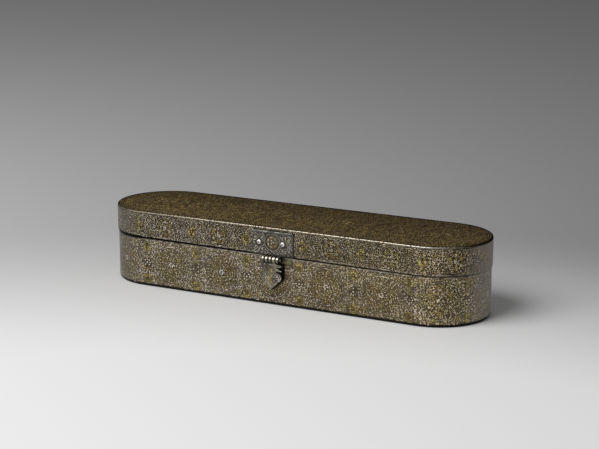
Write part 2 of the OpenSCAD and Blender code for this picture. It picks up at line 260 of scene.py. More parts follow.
class PenBoxColours(bpy.types.PropertyGroup):
    """Colours of the metals and of the stage"""

    body_ground: colour("Body ground", "Brass between the inlay of the body", (0.122, 0.095, 0.057))
    body_stain: colour("Body stain", "Tarnish on the body", (0.05, 0.037, 0.02))
    bare: colour("Bare patch", "Body where its inlay is rubbed off", (0.2, 0.186, 0.105))
    lid_ground: colour("Lid ground", "Brass between the inlay of the lid", (0.066, 0.051, 0.03))
    lid_stain: colour("Lid stain", "Tarnish on the lid", (0.03, 0.023, 0.014))
    # held_left and held_right also paint the grey reflection of the walls where they turn away at the ends
    held_left: colour("Held left", "Wall worn by a hand at its left end", (0.142, 0.13, 0.1))
    held_right: colour("Held right", "Wall worn by a hand at its right end", (0.42, 0.395, 0.345))
    # grime_and_shade is dirt in places and painted shade in others, as at the seam, foot and hasp's tongue
    grime_and_shade: colour("Grime", "Dirt in the seam and between knuckles", (0.012, 0.01, 0.007))
    top: colour("Top", "Brass of the lid's top", (0.078, 0.048, 0.018))
    side: colour("Side", "Brass along the side of the lid's top", (0.26, 0.235, 0.18))
    top_stain: colour("Top stain", "Tarnish on the lid's top", (0.05, 0.03, 0.012))
    silver: colour("Silver", "Silver inlay", (0.98, 0.895, 0.765))
    silver_stain: colour("Silver stain", "Tarnish on the silver inlay", (0.29, 0.25, 0.205))
    cool: colour("Cool", "Tinge of the silver inlay in places", (0.86, 0.85, 0.95))
    yellowed: colour("Yellowed", "Tinge of the silver inlay towards the right end", (0.95, 0.89, 0.77))
    gold: colour("Gold", "Gold inlay", (0.62, 0.485, 0.185))
    olive: colour("Olive", "Tinge of the gold inlay in places", (0.84, 0.9, 0.85))
    copper: colour("Copper", "Tinge of the gold inlay in other places", (1.0, 0.8, 0.66))
    gold_stain: colour("Gold stain", "Tarnish on the gold inlay", (0.23, 0.178, 0.08))
    top_dull: colour("Top dull", "Tarnish on the inlay of the lid's top", (0.2, 0.134, 0.056))
    top_silver: colour("Top silver", "Rubbed silver inlay of the top", (0.6, 0.5, 0.34))
    top_gold: colour("Top gold", "Rubbed gold inlay of the top", (0.92, 0.68, 0.24))
    plain: colour("Plain brass", "Plain brass inside the box", (0.4, 0.28, 0.12))
    plain_stain: colour("Plain stain", "Stain on the plain brass", (0.16, 0.11, 0.06))
    cup: colour("Cups", "Brass of the cups", (0.46, 0.34, 0.16))
    ink: colour("Ink", "Dried ink in the cups", (0.02, 0.017, 0.014))
    fitting: colour("Fittings", "Silvered metal of the hasp and hinges", (0.1, 0.095, 0.083))
    fitting_stain: colour("Fitting stain", "Tarnish on the fittings", (0.055, 0.051, 0.046))
    moulding: colour("Moulding", "Moulding of the hasp's plate", (0.2, 0.193, 0.18))
    tongue: colour("Tongue", "Olive metal of the hasp's tongue", (0.28, 0.255, 0.19))
    tongue_stain: colour("Tongue stain", "Tarnish on the tongue", (0.1, 0.09, 0.08))
    # knuckle also paints the highlight on the barrels and light on the shaded sides of the hasp's plate
    knuckle: colour("Knuckle", "Worn metal of the barrels and of the plate's sides", (0.5, 0.45, 0.37))
    # bright also paints the highlight at the right bend of the lid's top
    bright: colour("Bright", "Bright metal of the rivets and of the lid's rubbed bend", (0.95, 0.92, 0.85))
    edge: colour("Rubbed edge", "Walls where they are rubbed beside the seam", (0.5, 0.455, 0.375))
    # worn also paints the highlight along the front edge of the lid's top
    worn: colour("Worn edge", "Edge of the lid's top that hands have rubbed", (0.82, 0.74, 0.61))
    floor: colour("Floor", "Floor under the box", (0.8, 0.8, 0.8))


def sizes():
    return bpy.context.scene.pen_box_sizes


def tint(name):
    """Opaque colour of that name"""
    return (*getattr(bpy.context.scene.pen_box_colours, name), 1)


class Graph:
    """Node tree that is being built"""

    def __init__(self, tree):
        self.tree = tree

    def feed(self, socket, value):
        """Links a socket to another, or sets its value"""
        if isinstance(value, bpy.types.NodeSocket):
            self.tree.links.new(value, socket)
        else:
            socket.default_value = value

    def add(self, kind, inputs=None, **settings):
        """New node, with its settings and inputs"""
        node = self.tree.nodes.new(kind)
        for name, value in settings.items():
            setattr(node, name, value)
        for name, value in (inputs or {}).items():
            self.feed(node.inputs[name], value)
        return node

    def math(self, operation, *values):
        """Result of one math node"""
        return self.add("ShaderNodeMath", dict(enumerate(values)), operation=operation).outputs[0]

    def minus(self, first, second):
        return self.math("SUBTRACT", first, second)

    def absolute(self, value):
        return self.math("ABSOLUTE", value)

    def product(self, first, *others):
        """Values multiplied together"""
        result = first
        for value in others:
            result = self.math("MULTIPLY", result, value)
        return result

    def distance(self, *pairs):
        """Distance between two places, from their values along two axes"""
        squares = [self.math("POWER", self.minus(*pair), 2.0) for pair in pairs]
        return self.math("SQRT", self.math("ADD", *squares))

    def vector(self, operation, *values):
        """Result of one vector math node"""
        node = self.add("ShaderNodeVectorMath", dict(enumerate(values)), operation=operation)
        return node.outputs["Value" if operation in ("LENGTH", "DOT_PRODUCT") else "Vector"]

    def noise(self, place, scale, detail):
        """Noise value from 0 to 1"""
        node = self.add("ShaderNodeTexNoise", {"Vector": place, "Scale": scale, "Detail": detail})
        return node.outputs["Fac"]

    def span(self, value, low, high, to_low=0.0, to_high=1.0):
        """Value carried smoothly from one range to another"""
        limits = {"Value": value, "From Min": low, "From Max": high, "To Min": to_low, "To Max": to_high}
        return self.add("ShaderNodeMapRange", limits, interpolation_type="SMOOTHSTEP").outputs["Result"]

    def between(self, value, start, full, fade, end):
        """Share that rises from the start until it is full, and falls from where it fades to the end"""
        return self.product(self.span(value, start, full), self.span(value, end, fade))

    def blend(self, share, first, second, mode="MIX"):
        """Mix of two colours, which a mix node takes by its seventh and eighth sockets"""
        inputs = {0: share, 6: first, 7: second}
        return self.add("ShaderNodeMix", inputs, data_type="RGBA", blend_type=mode).outputs[2]


# Metals

class Metal(Graph):
    """Aged metal: two tones in broad clouds, finer specks, uneven gloss and a slightly uneven surface"""

    def __init__(self, name, tone, stain, roughness, broad=90, fine=900,
                 stained=(0.42, 0.66), shaded=0.0, glance=1.0, dust=0.0, cloudy=1.0):
        self.material = bpy.data.materials.new(name)
        self.material.use_nodes = True
        super().__init__(self.material.node_tree)
        self.shader = self.tree.nodes["Principled BSDF"]
        self.shader.inputs["Metallic"].default_value = 1
        self.shader.inputs["Sheen Weight"].default_value = dust
        self.place = self.add("ShaderNodeTexCoord").outputs["Object"]
        self.x, self.y, self.z = self.add("ShaderNodeSeparateXYZ", {"Vector": self.place}).outputs
        clouds = self.math("MULTIPLY_ADD", self.noise(self.place, broad, 4), cloudy, (1 - cloudy) / 2)
        self.specks = self.noise(self.place, fine, 3)
        mixed = self.math("MULTIPLY_ADD", self.specks, SPECK_SHARE, self.minus(clouds, SPECK_SHARE / 2))
        relief = self.add("ShaderNodeBump", {
            "Strength": RELIEF_STRENGTH, "Distance": RELIEF_DEPTH, "Height": mixed})
        self.feed(self.shader.inputs["Normal"], relief.outputs["Normal"])
        if shaded:
            shade = self.add("ShaderNodeAttribute", attribute_name=SHADE).outputs["Fac"]
            mixed = self.math("MULTIPLY_ADD", self.minus(shade, 0.5), shaded, mixed)
        self.tone = self.blend(self.span(mixed, *stained), tint(tone), tint(stain))
        self.gloss = self.span(mixed, *GLOSS_RANGE, roughness - GLOSS_LESS, roughness + GLOSS_MORE)
        self.glance = (glance, glance, glance, 1)

    def from_middle_line(self):
        """Distance from the middle line of the plan, which is the plan's radius at its edge"""
        past_run = self.math("MAXIMUM", self.minus(self.absolute(self.x), RUN / 2), 0.0)
        return self.distance((past_run, 0.0), (self.y, 0.0))

    def from_top_edge(self):
        """Distance from the edge of the lid's top"""
        return self.minus(LID_RADIUS, self.from_middle_line())

    def from_seam(self, edge, inward):
        """Distance from a wall's edge at the seam"""
        height = self.math("MULTIPLY_ADD", self.x, edge.slope, edge.middle)
        return self.product(self.minus(self.z, height), inward)

    def held_at(self):
        """Distance from the middle of the box along the line between the hands that hold it"""
        across = self.product(self.y, math.sin(HELD_TURN))
        return self.math("MULTIPLY_ADD", self.x, math.cos(HELD_TURN), across)

    def cover(self, share, tone, roughness):
        """Another tone and gloss, where the share is high"""
        self.tone = self.blend(share, self.tone, tint(tone))
        kept = self.product(self.gloss, self.minus(1.0, share))
        self.gloss = self.math("MULTIPLY_ADD", share, roughness, kept)

    def soil_and_shade(self, share):
        """Dark that takes the shine away where the share is high: dirt in some places, painted shade in
        others
        """
        self.cover(share, "grime_and_shade", DIRT_AND_SHADE_ROUGHNESS)
        self.glance = self.blend(share, self.glance, BLACK)

    def tinge(self, share, tone):
        """Tone that dyes the metal where the share is high"""
        self.tone = self.blend(share, self.tone, tint(tone), "MULTIPLY")

    def patchy(self, share, scale, low, high, stretch=(1, 1, 1)):
        """The share, broken up as wear is"""
        place = self.vector("MULTIPLY", self.place, stretch)
        return self.product(share, self.span(self.noise(place, scale, 3), low, high))

    def wear_and_painted_light_at_ends(self):
        """Grey wear at both ends, where the box is held, which also paints the reflection of the walls
        turning away, and painted shade on a duller stretch before it at the right
        """
        held = self.held_at()
        painted_dull_shade = self.span(held, DULL_FROM, DULL_TO, 0.0, DULL_SHARE)
        short_of_end = self.span(held, HELD_TO, 0.95 * HELD_TO)
        self.cover(self.product(painted_dull_shade, short_of_end), "grime_and_shade", roughness=0.5)
        for hand, side in zip((-1, 1), SIDES):
            worn = self.span(held, hand * HELD_FROM, hand * HELD_TO, 0.0, HELD_SHARE)
            self.cover(worn, "held_" + side, roughness=0.45)

    def finished(self):
        """The material, with its tone and gloss joined to its shader"""
        looks = {"Base Color": self.tone, "Roughness": self.gloss, "Specular Tint": self.glance}
        for socket, value in looks.items():
            self.feed(self.shader.inputs[socket], value)
        return self.material


def plain_metal(name):
    return Metal(name, "plain", "plain_stain", roughness=0.45)


def seam_dirt_and_shade(metal, low):
    """How much of the seam's dirt and painted shade is left, from a low share at the right end to all of it
    at the left
    """
    return metal.span(metal.held_at(), HELD_FROM, 0.2 * HELD_FROM, low, 1.0)


def wall_metal(name, edge, inward, rubbed):
    """Ground of a wall, rubbed near the seam and dark with dirt and painted shade beside it, most of it at
    the left
    """
    metal = Metal(name, name + "_ground", name + "_stain", roughness=0.48, **WALL_FINISH)
    metal.wear_and_painted_light_at_ends()
    held = metal.held_at()
    off = metal.from_seam(edge, inward)
    line = metal.product(metal.between(off, *WALL_RUB), rubbed)
    metal.cover(metal.patchy(line, scale=300, low=0.4, high=0.6), "edge", roughness=0.45)
    dirt_and_shade_reach = metal.math("MULTIPLY_ADD", held, -SEAM_DIRT_AND_SHADE_CHANGE / HELD_TO, SEAM_DIRT_AND_SHADE)
    thicker = metal.math("ADD", dirt_and_shade_reach, metal.span(held, -0.8 * HELD_TO, -HELD_TO, 0.0, SEAM_DIRT_AND_SHADE_LEFT))
    beside = metal.span(metal.minus(off, thicker), SEAM_DIRT_AND_SHADE_SOFT, -SEAM_DIRT_AND_SHADE_SOFT)
    metal.soil_and_shade(metal.product(beside, seam_dirt_and_shade(metal, 0.0)))
    return metal


def body_metal():
    """Ground of the body: rubbed below its rim, bare in one patch, with a painted shadow beside the hasp's
    tongue and painted shade at its foot
    """
    metal = wall_metal("body", RIM, -1.0, rubbed=0.6)
    line = metal.between(metal.from_seam(RIM, -1.0), *RIM_RUB)
    near_hasp = metal.span(metal.absolute(metal.minus(metal.x, RIM_RUB_MIDDLE)), RIM_RUB_END, RIM_RUB_FADE)
    rim = metal.patchy(metal.product(line, near_hasp), scale=120, low=0.3, high=0.6)
    metal.cover(rim, "edge", roughness=0.45)
    front = metal.span(metal.y, BARE_LOW.y / 2, BARE_LOW.y)
    bare = front
    for axis, low, high in ((metal.x, BARE_LOW.x, BARE_HIGH.x), (metal.z, BARE_LOW.z, BARE_HIGH.z)):
        bare = metal.product(bare, metal.between(axis, low, low + BARE_SOFT, high - BARE_SOFT, high))
    metal.cover(metal.patchy(bare, scale=500, low=0.2, high=0.5), "bare", roughness=0.4)
    # Painted shadow of the hasp's tongue on the body
    metal.soil_and_shade(metal.product(front, painted_tongue_shadow(metal)))
    # Painted shade on the chamfer at the foot, where the wall meets the floor
    metal.soil_and_shade(metal.span(metal.z, foot_top + 0.8 * MM, foot_top + 0.3 * MM))
    return metal.finished()


def painted_tongue_shadow(metal):
    """Share of painted shadow on the body along the right edge of the hasp's tongue"""
    soft = SHADOW_SOFT
    aside = metal.minus(metal.x, SHADOW_MIDDLE)
    from_tip = metal.product(metal.minus(metal.z, SHADOW_TIP), SHADOW_FLANK)
    outside = metal.minus(aside, metal.math("MINIMUM", from_tip, SHADOW_REACH))
    band = metal.between(outside, -SHADOW_WIDTH - soft, -SHADOW_WIDTH + soft, -soft, soft)
    below_barrel = metal.span(metal.z, SHADOW_TOP + soft, SHADOW_TOP - soft)
    return metal.product(band, below_barrel, metal.span(aside, -SHADOW_TAIL - soft, -SHADOW_TAIL + soft))


def is_in_tongue_shadow(x, z):
    """Whether a point of the body's front lies in the painted shadow or between it and the tongue's middle"""
    return z < SHADOW_TOP and -SHADOW_TAIL < x - SHADOW_MIDDLE < min(SHADOW_FLANK * (z - SHADOW_TIP), SHADOW_REACH)


def dull_back(metal, most):
    """Darker tone on the lid's top that grows towards its back"""
    share = metal.span(metal.y, -0.3 * LID_RADIUS, LID_RADIUS, 0.0, most)
    metal.cover(share, "top_stain", roughness=0.6)


def shade_back_edge(metal):
    """Painted shade on the lid's top along its edge, behind a slanting line and wider away from it"""
    narrow, wide, reach = 0.9 * MM, 3 * MM, 22 * MM
    soft_side, soft_start = 0.3 * MM, 2 * MM
    behind = metal.math("MULTIPLY_ADD", metal.x, -BACK_SLANT, metal.y)
    width = metal.span(behind, 0.0, reach, narrow, wide)
    inside = metal.minus(metal.from_top_edge(), width)
    beside = metal.span(inside, soft_side, -soft_side)
    metal.soil_and_shade(metal.product(beside, metal.span(behind, -soft_start, soft_start)))


def speckle_top(metal):
    """Golden specks on the inlay of the lid's top, more of them at the front and at the left"""
    dull_back(metal, 0.55)
    flat = metal.span(metal.from_top_edge(), 0.9 * TOP_ROUND, 1.3 * TOP_ROUND)
    to_front = metal.span(metal.y, LID_RADIUS, -LID_RADIUS, 0.2, 1.0)
    to_left = metal.span(metal.x, RUN / 2, -RUN / 2, 0.7, 1.2)
    at_front = metal.span(metal.y, -0.5 * LID_RADIUS, -0.95 * LID_RADIUS)
    golden = metal.product(flat, to_front, to_left)
    pale = metal.product(flat, at_front)
    metal.cover(metal.patchy(golden, 560, 0.52, 0.58, SPECK_STRETCH), "top_gold", roughness=0.42)
    metal.cover(metal.patchy(pale, 700, 0.54, 0.6, SPECK_STRETCH), "top_silver", roughness=0.42)


def top_metal():
    """Ground of the lid's top, duller at the back; its round edge rubbed bright along the front, partly as a
    painted highlight, with a painted highlight at its right bend and painted shade at its right end and along
    its back
    """
    metal = Metal("top_ground", "top", "top_stain", roughness=0.5, glance=0.5)
    dull_back(metal, 0.7)
    # Distance from the edge, in widths of its round
    inward = metal.product(metal.from_top_edge(), 1 / TOP_ROUND)
    side = metal.patchy(metal.span(inward, 0.3, 0.1), scale=900, low=0.35, high=0.6)
    metal.cover(side, "side", roughness=0.45)
    # Painted shade on the edge at the right end
    right_end_shade = metal.span(metal.held_at(), 0.85 * HELD_FROM, HELD_TO)
    metal.soil_and_shade(metal.product(metal.span(inward, 1.0, 0.7), right_end_shade, 0.8))
    # Bright line along the front edge: wear, and a painted highlight that fades towards the left
    line = metal.between(inward, 0.15, 0.28, 0.45, 0.62)
    front_line = metal.product(line, metal.span(metal.y, -0.55 * LID_RADIUS, -0.8 * LID_RADIUS))
    past_left = metal.span(metal.x, -RUN / 2, -RUN / 4, 0.4, 1.0)
    to_right = metal.span(metal.x, -RUN / 4, RUN / 4, 0.82, 1.0)
    # Painted highlight where the front edge turns round the right end
    at_bend = metal.between(metal.x, 0.47 * RUN, 0.52 * RUN, 0.58 * RUN, 0.61 * RUN)
    metal.cover(front_line, "top_stain", roughness=0.5)
    worn = metal.product(front_line, past_left, to_right)
    bend_highlight = metal.product(front_line, at_bend)
    for share, tone, roughness in ((worn, "worn", 0.45), (bend_highlight, "bright", 0.6)):
        metal.cover(metal.patchy(share, scale=1400, low=0.36, high=0.54), tone, roughness)
    shade_back_edge(metal)
    return metal.finished()


def base_metal():
    """Plain brass, darkened along its edge: painted shade in the gap under the wall's foot, and dirt in the
    corner inside the box
    """
    metal = plain_metal("base_metal")
    edge = base_high.y
    metal.soil_and_shade(metal.span(metal.from_middle_line(), edge - 1.2 * MM, edge - 0.4 * MM))
    return metal.finished()


def lip_metal():
    """Plain brass, dark with dirt and painted shade where the seam lets it in"""
    metal = plain_metal("lip_metal")
    dirt_and_shade_reach = 1.2 * MM
    beside = metal.span(metal.from_seam(LID_EDGE, 1.0), dirt_and_shade_reach, dirt_and_shade_reach / 2)
    metal.soil_and_shade(metal.product(beside, seam_dirt_and_shade(metal, 0.3)))
    return metal.finished()


def inlay_metal(name, tone, stain, roughness, stained, **finish):
    """Inlay whose bits are tarnished each in its own way, and in clouds"""
    return Metal(
        name, tone, stain, roughness, broad=70, fine=420, stained=stained, shaded=BIT_VARIETY, **finish)


def fitting_metal(name, tone, along, axis, barrel):
    """Silvered metal of the hasp or of the hinges, whose knuckles are worn bright between dark joints, with a
    painted highlight on their upper halves
    """
    metal = Metal(name, tone, tone + "_stain", roughness=0.45, broad=160, fine=1400)
    from_axis = metal.distance((metal.y, axis.y), (metal.z, axis.z))
    on_barrel = metal.span(from_axis, KNUCKLE_RADIUS + 0.4 * MM, KNUCKLE_RADIUS + 0.1 * MM)
    pitch = barrel / KNUCKLES
    places = metal.minus(metal.absolute(metal.x) if along else metal.x, along or axis.x)
    off = metal.absolute(metal.math("WRAP", places, pitch / 2, -pitch / 2))
    fade, end, joint, joint_full = (share * pitch for share in KNUCKLE_WEAR)
    worn = metal.product(on_barrel, metal.span(off, end, fade))
    # Painted highlight: the worn band is bright only on the upper half of each knuckle
    upper_highlight = metal.span(metal.minus(metal.z, axis.z), 0.0, 0.5 * KNUCKLE_RADIUS, 0.3, 1.0)
    metal.cover(metal.product(worn, upper_highlight), "knuckle", roughness=0.28)
    metal.soil_and_shade(metal.product(on_barrel, metal.span(off, joint, joint_full)))
    return metal


def hasp_metal(name, tone):
    return fitting_metal(name, tone, 0.0, hasp_axis, HASP_BARREL)


def from_plate_rivet(metal):
    """Distance of a point of the hasp's plate from the middle of the nearer rivet"""
    aside = metal.absolute(metal.minus(metal.x, plate_rivets.x))
    return metal.distance((aside, PLATE_RIVET_SPACING / 2), (metal.z, plate_rivets.y))


def plate_metal():
    """Metal of the hasp's plate, rubbed along its sides, which also paints light on their shaded faces, and
    with painted shade round its rivets
    """
    metal = hasp_metal("plate_metal", "fitting")
    aside = metal.absolute(metal.minus(metal.x, (plate_low.x + plate_high.x) / 2))
    to_side = metal.minus((plate_high.x - plate_low.x) / 2, aside)
    # Painted light on the plate's side faces, which lie in shade
    metal.cover(metal.span(to_side, 0.12 * MM, 0.04 * MM, 0.0, 0.8), "knuckle", roughness=0.5)
    # Painted shade round the heads of the rivets
    metal.soil_and_shade(metal.span(from_plate_rivet(metal), 2.2 * MM, 1.7 * MM))
    return metal.finished()


def rivet_metal(name):
    return Metal(name, "bright", "silver_stain", roughness=0.62, broad=300, fine=1800, stained=(0.6, 0.85))


def plate_rivet_metal():
    """Bright metal, with painted shade in the dish of each head"""
    metal = rivet_metal("plate_rivet_metal")
    metal.soil_and_shade(metal.span(from_plate_rivet(metal), 1.3 * RIVET_DISH, 0.8 * RIVET_DISH))
    return metal.finished()


def tongue_metal():
    """Metal of the hasp's tongue, with painted shade on its sides"""
    metal = hasp_metal("tongue_metal", "tongue")
    sunk = metal.minus(CROWN_RADIUS, metal.distance((metal.x, hasp_axis.x), (metal.y, crown_axis)))
    below = metal.minus(hasp_axis.z - BARREL_CLEAR, metal.z)
    before_back = metal.minus(hasp_axis.y + TONGUE_BACK, metal.y)
    shaded_sides = metal.product(metal.span(sunk, 0.1 * MM, 0.35 * MM), metal.span(below, 0.0, 0.4 * MM))
    metal.soil_and_shade(metal.product(shaded_sides, metal.span(before_back, 0.04 * MM, 0.12 * MM)))
    return metal.finished()


def cup_metal():
    """Spun brass, dark with dried ink towards the bottom"""
    metal = Metal("cup_metal", "cup", "plain_stain", roughness=0.4, broad=130)
    ragged = metal.math("MULTIPLY_ADD", metal.specks, 5 * MM, metal.z)
    inked = metal.span(ragged, deck_high.z - 2 * MM, deck_high.z - 9 * MM)
    metal.cover(inked, "ink", roughness=0.55)
    return metal.finished()


def finish_nodes(material, *names):
    """Gives a material to nodes of the frame"""
    for name in names:
        frame["nodes"][name].material_slots[0].material = material


# Motifs, each a low closed solid whose rim is sunk below the surface that it lies on

RIM_DEPTH = 0.5


def motif_object(name, corners, faces):
    mesh = bpy.data.meshes.new(name)
    mesh.from_pydata(corners, [], faces)
    return bpy.data.objects.new(name, mesh)


def cushion(name, outline, crown):
    """Low pyramid over an outline that runs anticlockwise"""
    count = len(outline)
    corners = [(x, y, -RIM_DEPTH) for x, y in outline] + [(*crown, 1)]
    faces = [(i, (i + 1) % count, count) for i in range(count)]
    faces.append(tuple(reversed(range(count))))
    return motif_object(name, corners, faces)


def leaf_outline(hand):
    """Half palmette from its root at the origin, which curls to one side"""
    outline = [(0, 0), (0.3, -0.3), (0.68, -0.34), (0.94, -0.08), (1, 0.3), (0.74, 0.26), (0.34, 0.22)]
    return outline if hand > 0 else [(x, -y) for x, y in reversed(outline)]


def motif_collection():
    """Unit shapes, in the order of their names"""
    bead = [(math.cos(i * math.pi / 4) / 2, math.sin(i * math.pi / 4) / 2) for i in range(8)]
    petal = [(0, 0), (0.45, -0.36), (0.82, -0.4), (1, 0), (0.82, 0.4), (0.45, 0.36)]
    bar_section = ((-0.5, -RIM_DEPTH), (0.5, -RIM_DEPTH), (0, 1))
    bar_ends = [(x, y, z) for x in (-0.5, 0.5) for y, z in bar_section]
    bar_faces = [(0, 2, 1), (3, 4, 5), (0, 1, 4, 3), (1, 2, 5, 4), (2, 0, 3, 5)]
    made = [
        motif_object("bar", bar_ends, bar_faces),
        cushion("bead", bead, (0, 0)),
        cushion("leaf_left", leaf_outline(1), (0.6, 0)),
        cushion("leaf_right", leaf_outline(-1), (0.6, 0)),
        cushion("petal", petal, (0.65, 0)),
    ]
    collection = bpy.data.collections.new("motifs")
    for motif in made:
        collection.objects.link(motif)
    return collection


def remove_motifs(collection):
    for motif in list(collection.objects):
        bpy.data.meshes.remove(motif.data)
    bpy.data.collections.remove(collection)


# Pattern on an unrolled surface

# Bars in a row lap over their ends by this much
JOINT_OVERLAP = 1.08

# Bars of a ring are about this long, and at least this many
RING_STEP = 1.5 * MM
RING_LEAST = 12

# Rosette: radius of its bead, as a share of its own, and width of a petal, as a share of the room for it
ROSETTE_HEART = 0.22
PETAL_FULLNESS = 1.15

# Scroll: square of the clear radius at its start, and radius of the flower there, in turn pitches, the least
# tarnish of its stem, the turn of a leaf from the stem, and the spread of the leaves' sizes
SCROLL_CLEAR_SQUARED = 0.8
SCROLL_FLOWER = 0.7
STEM_TARNISH = 0.72
LEAF_TURN = (0.5, 1.1)
LEAF_SCALE = (0.8, 1.15)

# Share of a cell's width by which its scroll may be off its place
CELL_SHAKE = 0.15

# Make-up of a roundel: its rosette and its circle of scrolls, as shares of its radius, and the clear rings
# beside both
HEART_SHARE = 0.16
SCROLLS_SHARE = 0.62
HEART_CLEAR = 0.3 * MM
RING_CLEAR = 0.7 * MM

# Room left round a roundel and round a flower in the field
ROUNDEL_ROOM = 0.5 * MM
FLOWER_ROOM = 0.3 * MM

# Stem, and leaves on either side, of a scroll that winds to one hand or to the other
FIELD_METALS = {1: (SILVER, (SILVER, GOLD)), -1: (SILVER, (GOLD, SILVER))}
ROUNDEL_METALS = {1: (GOLD, (SILVER, GOLD)), -1: (GOLD, (GOLD, SILVER))}
PLATE_METALS = {1: (SILVER, (SILVER, GOLD)), -1: (SILVER, (SILVER, SILVER))}
TOP_METALS = {1: (SILVER, (GOLD, GOLD)), -1: (GOLD, (GOLD, GOLD))}


def polar(radius, angle):
    return Vector((radius * math.cos(angle), radius * math.sin(angle)))


def alternate(index):
    """Hand of a scroll, by its number"""
    return 1 if index % 2 else -1


class Bit(NamedTuple):
    """One inlaid bit on an unrolled surface"""

    motif: int
    place: Vector
    spin: float
    length: float
    width: float
    shade: float

    def ends(self):
        """Both ends of the bit, of which leaves and petals start at their place"""
        along = polar(self.length, self.spin)
        if MOTIFS[self.motif] in ("bar", "bead"):
            return self.place - along / 2, self.place + along / 2
        return self.place, self.place + along


class Pattern:
    """Places of the inlaid bits on one unrolled surface"""

    def __init__(self, seed):
        self.sizes = sizes()
        self.chance = random.Random(seed)
        self.bits = {SILVER: [], GOLD: []}

    def put(self, metal, motif, place, spin, length, width, brightest=0.0, dullest=1.0):
        """One bit, unless it is lost, tarnished at random"""
        shade = self.chance.uniform(brightest, dullest)
        if self.chance.random() >= self.sizes.lost_share:
            self.bits[metal].append(Bit(MOTIFS.index(motif), place, spin, length, width, shade))

    def line(self, metal, places, width, brightest=0.0):
        """Bars that follow a row of places"""
        for start, end in zip(places, places[1:]):
            step = end - start
            spin = math.atan2(step.y, step.x)
            self.put(metal, "bar", (start + end) / 2, spin, step.length * JOINT_OVERLAP, width, brightest)

    def ring(self, metal, centre, radius, width, brightest=0.0):
        count = max(RING_LEAST, round(math.tau * radius / RING_STEP))
        places = [centre + polar(radius, math.tau * i / count) for i in range(count + 1)]
        self.line(metal, places, width, brightest)

    def bead(self, metal, place, size, brightest=0.0, dullest=1.0):
        self.put(metal, "bead", place, 0, size, size, brightest, dullest)

    def beads(self, metal, centre, radius, count, size, dullest=1.0):
        """Ring of beads"""
        for i in range(count):
            self.bead(metal, centre + polar(radius, math.tau * i / count), size, dullest=dullest)

    def rosette(self, metal, centre, radius, petals, brightest=0.0):
        """Petals round a bead"""
        root = ROSETTE_HEART * radius
        width = PETAL_FULLNESS * math.tau * radius / petals
        for i in range(petals):
            angle = math.tau * i / petals
            self.put(metal, "petal", centre + polar(root, angle), angle, radius - root, width, brightest)
        self.bead(metal, centre, 2 * root, brightest)

    def scroll(self, centre, hand, stem, leaves, bold, allowed):
        """Stem that winds out of a small flower, with leaves on both sides, as far as its field goes"""
        size = self.sizes
        growth = size.turn_pitch / math.tau
        phase = self.chance.uniform(0, math.tau)
        swept = 2 * growth * size.sprig_step
        first = int(SCROLL_CLEAR_SQUARED * size.turn_pitch ** 2 / swept)
        last = int(size.scroll_cell ** 2 / swept)
        for step in range(first, last):
            turn = math.sqrt(2 * size.sprig_step * step / growth)
            angle = phase + hand * turn
            place = centre + polar(growth * turn, angle)
            if not allowed(place):
                continue
            heading = angle + hand * (math.pi / 2 - 1 / turn)
            bar_length = size.sprig_step * JOINT_OVERLAP
            self.put(stem, "bar", place, heading, bar_length, bold * size.stem_width, STEM_TARNISH)
            side = alternate(step)
            leaf = "leaf_left" if side > 0 else "leaf_right"
            spread = heading + side * self.chance.uniform(*LEAF_TURN)
            scale = bold * self.chance.uniform(*LEAF_SCALE)
            self.put(leaves[step % 2], leaf, place, spread, scale * size.leaf_length, scale * size.leaf_width)
        if allowed(centre):
            self.rosette(leaves[0], centre, SCROLL_FLOWER * bold * size.turn_pitch, petals=6)

    def scrolls(self, centres, inside, metals, bold=1.0):
        """Scrolls that share out a field, each as far as it is the nearest"""
        tree = kdtree.KDTree(len(centres))
        for index, (centre, _) in enumerate(centres):
            tree.insert((*centre, 0), index)
        tree.balance()

        def allowed(place):
            return inside(place) and tree.find((*place, 0))[1] == current

        for current, (centre, hand) in enumerate(centres):
            self.scroll(centre, hand, *metals[hand], bold, allowed)

    def cells(self, columns, rows, place_of, width):
        """Centres of scrolls in columns and rows, a little off their places, winding to alternate hands"""
        centres = []
        for column in columns:
            for row in rows:
                shake = polar(self.chance.uniform(0, CELL_SHAKE) * width, self.chance.uniform(0, math.tau))
                centres.append((place_of(column, row) + shake, alternate(column + row)))
        return centres

    def roundel(self, centre, radius, around, metals, inside):
        """Ring round a rosette and a circle of scrolls"""
        self.ring(SILVER, centre, radius, self.sizes.line_width, brightest=0.6)
        heart = HEART_SHARE * radius
        self.rosette(SILVER, centre, heart, petals=6)
        turns = [math.tau * (i + 0.5) / around for i in range(around)]
        out = SCROLLS_SHARE * radius
        centres = [(centre + polar(out, turn), alternate(i)) for i, turn in enumerate(turns)]

        def in_roundel(place):
            return heart + HEART_CLEAR < (place - centre).length < radius - RING_CLEAR and inside(place)

        self.scrolls(centres, in_roundel, metals)

    def gold_flower(self, centre):
        """Gold rosette in a fine ring"""
        radius = self.sizes.rosette
        self.rosette(GOLD, centre, 0.92 * radius, petals=8, brightest=0.5)
        self.ring(GOLD, centre, radius, self.sizes.line_width)

    def dotted_flower(self, centre):
        """Ring of silver beads round another"""
        radius = self.sizes.rosette
        self.beads(SILVER, centre, 0.68 * radius, count=8, size=0.42 * radius)
        self.bead(SILVER, centre, 0.5 * radius)


def off_mark(value, start, pitch):
    """Offset from the nearest of the marks that stand a pitch apart"""
    return (value - start + pitch / 2) % pitch - pitch / 2


def perimeter(radius):
    return 2 * RUN + math.tau * radius


def wall_place(along, radius):
    """Plan place of a point on a wall, from its distance along the wall from the middle of the front"""
    far = abs(along)
    turn = min(max((far - RUN / 2) / radius, 0), math.pi)
    back = max(far - RUN / 2 - math.pi * radius, 0)
    x = min(far, RUN / 2) + radius * math.sin(turn) - back
    return Vector((x if along >= 0 else -x, -radius * math.cos(turn)))


